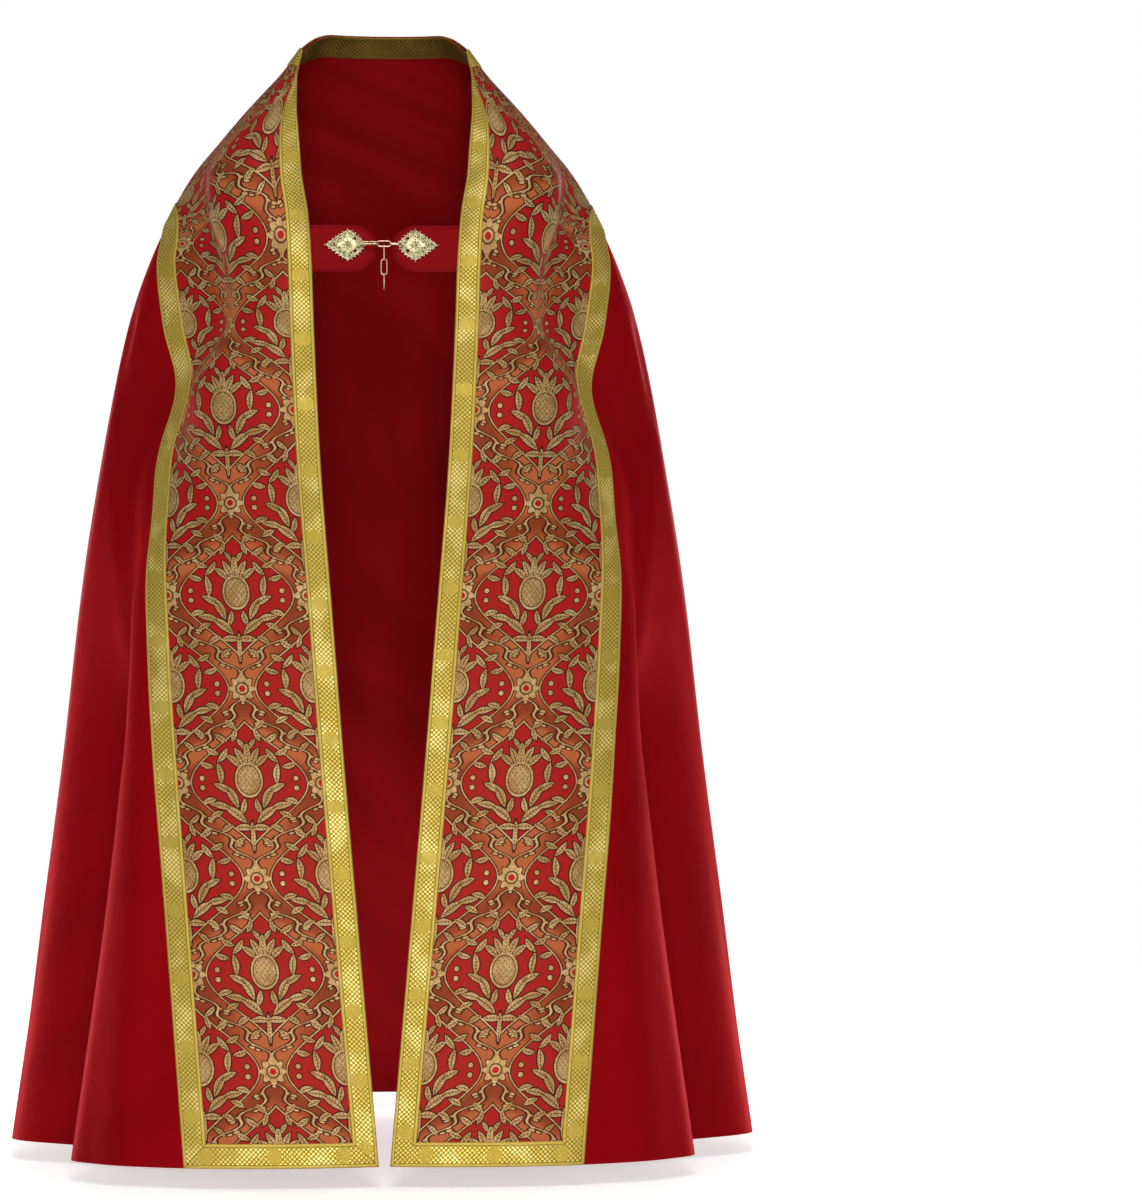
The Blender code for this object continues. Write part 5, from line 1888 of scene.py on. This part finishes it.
@dataclass(frozen=True)
class Galloon:
    """Woven metallic galloon: gilt lurex thread in a diamond mesh, with bright plain patches and a cord border."""

    name: str = "gilt lurex galloon"
    ground: str = "#b3982a"
    bright: str = "#f6df86"
    dark: str = "#5f4a0e"
    stitch: str = "#b0602c"
    width: float = 30.0
    mesh_mm: float = 5.8
    patch_every: float = 84.0
    patch_mm: float = 2.4
    chevron_mm: float = 2.6
    stitch_mm: float = 3.0

    def make(self) -> Finish:
        """Makes the material.

        Returns:
            The material.
        """
        w = Weave(self.name)
        place = w.cloth()
        turn = math.pi / self.mesh_mm
        w.let(
            glint=w.noise(place, 1.1, 0.0),
            soft=w.noise(place, 46.0, 2.0),
            rim=f"{self.width / 2}-abs(y-{self.width / 2})",
            lattice=f"abs(sin((x+y)*{turn}))*abs(sin((x-y)*{turn}))",
            away=f"abs(fract(x/{self.patch_every})-0.5)*{self.patch_every}+0.5*abs(y-{self.width / 2})",
            patch="1-ramp(away,8,11)",
            shine="0.35+0.65*ramp(soft,0.42,0.62)",
            field="ramp(rim,4.0,4.6)",
            mesh="field*(1-patch)",
            cell="ramp(lattice,0.16,0.52)",
            diamond=f"sin(x*{rate(self.patch_mm)})*sin(y*{rate(self.patch_mm)})",
            chevron=f"0.5+0.5*sin((x+abs(rim-2.2)*1.6)*{rate(self.chevron_mm)})",
            groove="(1-ramp(abs(rim-4.3),0.15,0.55))",
            thread=f"(1-ramp(rim,0.7,1.3))*ramp(sin(x*{rate(self.stitch_mm)}),-0.1,0.5)",
            spark="ramp(glint,0.60,0.74)",
        )
        colour = w.paint(
            self.ground,
            (self.dark, "0.72*mesh*(1-ramp(lattice,0.04,0.24))"),
            (self.bright, "0.95*mesh*cell*shine"),
            (self.bright, "field*patch*(0.12+0.45*spark)"),
            (self.dark, "0.35*field*patch*ramp(diamond,0.2,0.8)"),
            (self.bright, "(1-field)*0.45*chevron"),
            (self.dark, "0.75*groove"),
            (self.stitch, "0.8*thread"),
            (self.bright, "0.22*ramp(soft,0.5,0.75)"),
        )
        w.let(relief="mesh*cell*0.8+field*patch*(0.4+0.3*diamond)+(1-field)*(0.5+0.4*chevron)-0.5*groove+0.15*glint")
        return w.finish(
            colour, "relief", 0.35, Roughness="0.36+0.18*(1-spark)-0.06*cell", Metallic=0.62,
            Specular_Tint="#fff0b0", Sheen_Weight=0.1, Sheen_Tint="#fff0a0",
        )  # fmt: skip


@dataclass(frozen=True)
class FringeCord:
    """Antique-gold bullion cord: rayon and gilt thread twisted together."""

    name: str = "antique gold bullion cord"
    ground: str = "#d8c596"
    bright: str = "#f6ebc8"
    dark: str = "#8a7346"
    ply_mm: float = 1.9

    def make(self) -> Finish:
        """Makes the material.

        Returns:
            The material.
        """
        w = Weave(self.name)
        place = w.solid()
        w.cloth()
        w.let(
            tone=w.noise(place, 5.0, 2.0),
            ply=f"0.5+0.5*sin(x*{rate(self.ply_mm)}+y*{rate(1)})",
        )
        colour = w.paint(
            self.ground, (self.dark, "0.6*(1-ramp(ply,0.1,0.6))"), (self.bright, "0.6*ramp(tone,0.45,0.7)*ply"),
        )  # fmt: skip
        return w.finish(colour, "ply", 0.25, Roughness="0.45+0.1*tone", Metallic=0.35, Specular_Tint="#ffe8b0")


@dataclass(frozen=True)
class Gilt:
    """Cast brass, gilt and tumbled, with random wear, and painted shade that darkens its hollows."""

    name: str
    ground: str
    # the colour of the random wear, the chased marks and the painted shade in the hollows
    dark: str
    roughness: float = 0.24
    engraved: float = 0.0  # how strongly a fine ground of chased marks shows

    def make(self) -> Finish:
        """Makes the material.

        Returns:
            The material.
        """
        w = Weave(self.name)
        place = w.solid()
        w.let(wear=w.noise(place, 2.2, 3.0), grain=w.noise(place, 0.5, 1.0), cut=w.noise(place, 1.1, 2.0))
        # Painted shade: ambient occlusion finds the hollows, and the colour is darkened there
        hollow = add_node(w.tree, "AmbientOcclusion", {"samples": 4}, Distance=2.2 * MM).outputs["AO"]
        w.let(hollow=hollow)
        chased = f"{self.engraved}*ramp(cut,0.5,0.6)"
        colour = w.paint(self.ground, (self.dark, f"0.3*ramp(wear,0.5,0.8)+{chased}+0.8*ramp(1-hollow,0.12,0.7)"))
        return w.finish(
            colour, f"0.6*wear+0.4*grain-{chased}", 0.10, Roughness=f"{self.roughness}+0.16*wear", Metallic=1.0
        )


@dataclass(frozen=True)
class Paper:
    """Pale studio paper that fades into the white around it."""

    name: str = "pale studio paper"
    ground: str = "#f6f6f5"
    lift: float = 0.55  # white added to what the camera sees of it

    def make(self) -> Finish:
        """Makes the material.

        Returns:
            The material.
        """
        w = Weave(self.name)
        place = w.solid(1.0)
        w.known["px"], w.known["py"] = w.split(place)
        w.let(away="far(px,py)", seen=add_node(w.tree, "LightPath").outputs["Is Camera Ray"])
        return w.finish(
            self.ground, Roughness=0.9, Alpha="1-ramp(away,0.9,2.6)", Emission_Color="#ffffff",
            Emission_Strength=f"{self.lift}*seen",
        )  # fmt: skip


# Room, light and camera --------------------------------------


class Lamp(NamedTuple):
    """A soft square light."""

    name: str
    place: tuple[float, float, float]
    target: tuple[float, float, float]
    size: float
    power: float


@dataclass
class Studio:
    """A plain pale floor with soft light, and the camera."""

    floor_z: float = -1.47
    radius: float = 3.5
    eye: tuple = (0.0, -4.4, -0.75)
    yaw: float = 3.187  # degrees to the right of +Y
    lens: float = 100.47
    glow: float = 0.17  # how brightly the white around lights the cloth
    lamps: tuple = (
        Lamp("front", (0.1, -4.7, -1.0), (0, 0, -0.95), 1.1, 76),
        Lamp("key", (-2.0, -4.3, -0.2), (0, 0, -0.8), 1.6, 15),
        Lamp("fill", (2.1, -4.2, -0.3), (0, 0, -0.9), 1.6, 10),
        Lamp("top", (0, -2.6, 2.3), (0, 0, -0.1), 1.2, 56),
        Lamp("left_edge", (-1.9, 0.6, -1.35), (-0.47, 0, -1.3), 0.6, 24),
        Lamp("right_edge", (1.9, 0.6, -1.35), (0.47, 0, -1.3), 0.6, 24),
        Lamp("inside", (0, -0.02, -1.45), (0, 0.12, -0.6), 0.35, 2.2),
        Lamp("back", (-0.1, 4.7, -0.2), (0, 0, -0.7), 1.4, 60),
        Lamp("back_key", (2.0, 4.3, -0.1), (0, 0, -0.5), 1.6, 34),
        Lamp("back_fill", (-2.1, 4.2, -0.4), (0, 0, -0.8), 1.6, 26),
    )

    def build(self) -> None:
        """Makes the floor, the lights, the world and the camera."""
        edge = np.pad(self.radius * disc(96), ((0, 0), (0, 1)), constant_values=self.floor_z)
        paper = make_mesh(edge, [list(range(96))], [Paper().make()])
        paper.name = "studio_paper"
        for lamp in self.lamps:
            data = bpy.data.lights.new(lamp.name, "AREA")
            data.size, data.energy = lamp.size, lamp.power
            made = bpy.data.objects.new(lamp.name, data)
            made.visible_camera = False
            made.location = lamp.place
            made.rotation_euler = (Vector(lamp.target) - Vector(lamp.place)).to_track_quat("-Z", "Y").to_euler()
            bpy.context.scene.collection.objects.link(made)
        self.surround()
        data = bpy.data.cameras.new("camera")
        data.lens, data.sensor_width = self.lens, 36
        camera = bpy.data.objects.new("camera", data)
        camera.location = self.eye
        camera.rotation_euler = (math.radians(90), 0, -math.radians(self.yaw))
        bpy.context.scene.collection.objects.link(camera)
        bpy.context.scene.camera = camera
        bpy.context.scene.view_settings.view_transform = "Standard"

    def surround(self) -> None:
        """Makes the white around: full white to look at, dimmer as a light."""
        world = bpy.data.worlds.new("studio")
        world.use_nodes = True
        seen = add_node(world.node_tree, "LightPath").outputs["Is Camera Ray"]
        strength = add_node(world.node_tree, "MapRange", None, n0=seen, n3=self.glow, n4=1.0).outputs[0]
        back = world.node_tree.nodes["Background"]
        back.inputs["Color"].default_value = (1, 1, 1, 1)
        world.node_tree.links.new(strength, back.inputs["Strength"])
        bpy.context.scene.world = world


class Cut(NamedTuple):
    """What one sheet of cloth was cut to before it was sewn and hung, in metres."""

    piece: str
    flat: tuple[float, float]
    area: float | None  # square metres, where the cut isn't a rectangle
    held: Held
    rests_on: tuple[str, ...]
    trims: tuple[str, ...]


@dataclass
class Cope:
    """The whole vestment, built in order and fitted to the frame."""

    pieces: dict = field(default_factory=dict)

    def keep(self, made: Piece, node: str, body: str = "garment") -> None:
        """Fits a piece to the frame.

        Args:
            made: the piece.
            node: the node that it replaces.
            body: the body that it rides on.
        """
        made.name = made.data.name = f"{node}_piece"
        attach(made, body)
        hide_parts(node)
        self.pieces[node] = made
        LOG.info("%s: %d faces", made.name, len(made.data.polygons))

    def build(self) -> None:
        """Makes every piece."""
        satin, lining, brocade, gold = Satin().make(), Lining().make(), Brocade().make(), Galloon().make()
        # A darker copy of the galloon, painted dark for the shade inside the neck
        neck_shade_galloon = Galloon("gilt lurex galloon, worn dark at the neck", "#54400f", "#7b6426", "#271b05").make()
        # The tabs' satin is a darker copy of the mantle's satin: painted shade for the light on the tabs
        cord, tab_shade_satin = FringeCord().make(), Satin("red duchesse satin of the tabs", "#7d1013", "#6a0e11").make()
        # Each gilt's dark colour also carries the painted shade in its hollows
        gilt = Gilt("pale gilt brass", "#dcd3a4", "#2c220c", 0.34, 0.55).make()
        rosy = Gilt("rosy gilt brass", "#f6cdba", "#5a3024", 0.32).make()
        drape = Drape()
        band = Band(drape)
        trims, hood, clasp = Trims(drape, band), Hood(drape), Clasp()
        self.keep(Mantle(drape, band).build(satin, lining), "mantle")
        for side in Side:
            word = side.name.lower()
            self.keep(trims.orphrey(side, brocade), f"orphrey_{word}")
            self.keep(trims.hem(side, gold), f"galloon_hem_{word}")
        for made, node in (
            (trims.border(False, gold), "galloon_edge"),
            (trims.border(True, gold), "galloon_outer"),
            (trims.neck_lining(neck_shade_galloon), "galloon_neck_inside"),
            (trims.centre_back(gold), "galloon_centre_back"),
        ):
            self.keep(made, node)
        self.keep(hood.panel(brocade, satin), "hood")
        self.keep(hood.galloon(trims, gold), "galloon_hood")
        self.keep(hood.fringe_piece(cord), "fringe_hood")
        for side in Side:
            self.keep(Tab().build(side, tab_shade_satin), f"clasp_tab_{side.name.lower()}")
        left, right = Plate(-46.7 * MM, Side.RIGHT), Plate(39.0 * MM, Side.LEFT)
        self.keep(left.build(gilt, rosy, clasp.hook()), "clasp_plate_left")
        self.keep(right.build(gilt, rosy, clasp.eye()), "clasp_plate_right")
        for name, made in clasp.links(rosy).items():
            spare = name in ("link_a", "link_b", "link_c")
            self.keep(made, name, name.replace("link", "spare_link") if spare else "garment")


def main() -> None:
    """Builds the cope round the frame."""
    logging.basicConfig(level=logging.INFO, format="%(message)s")
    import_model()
    Studio().build()
    cope = Cope()
    cope.build()


if __name__ == "__main__":
    main()
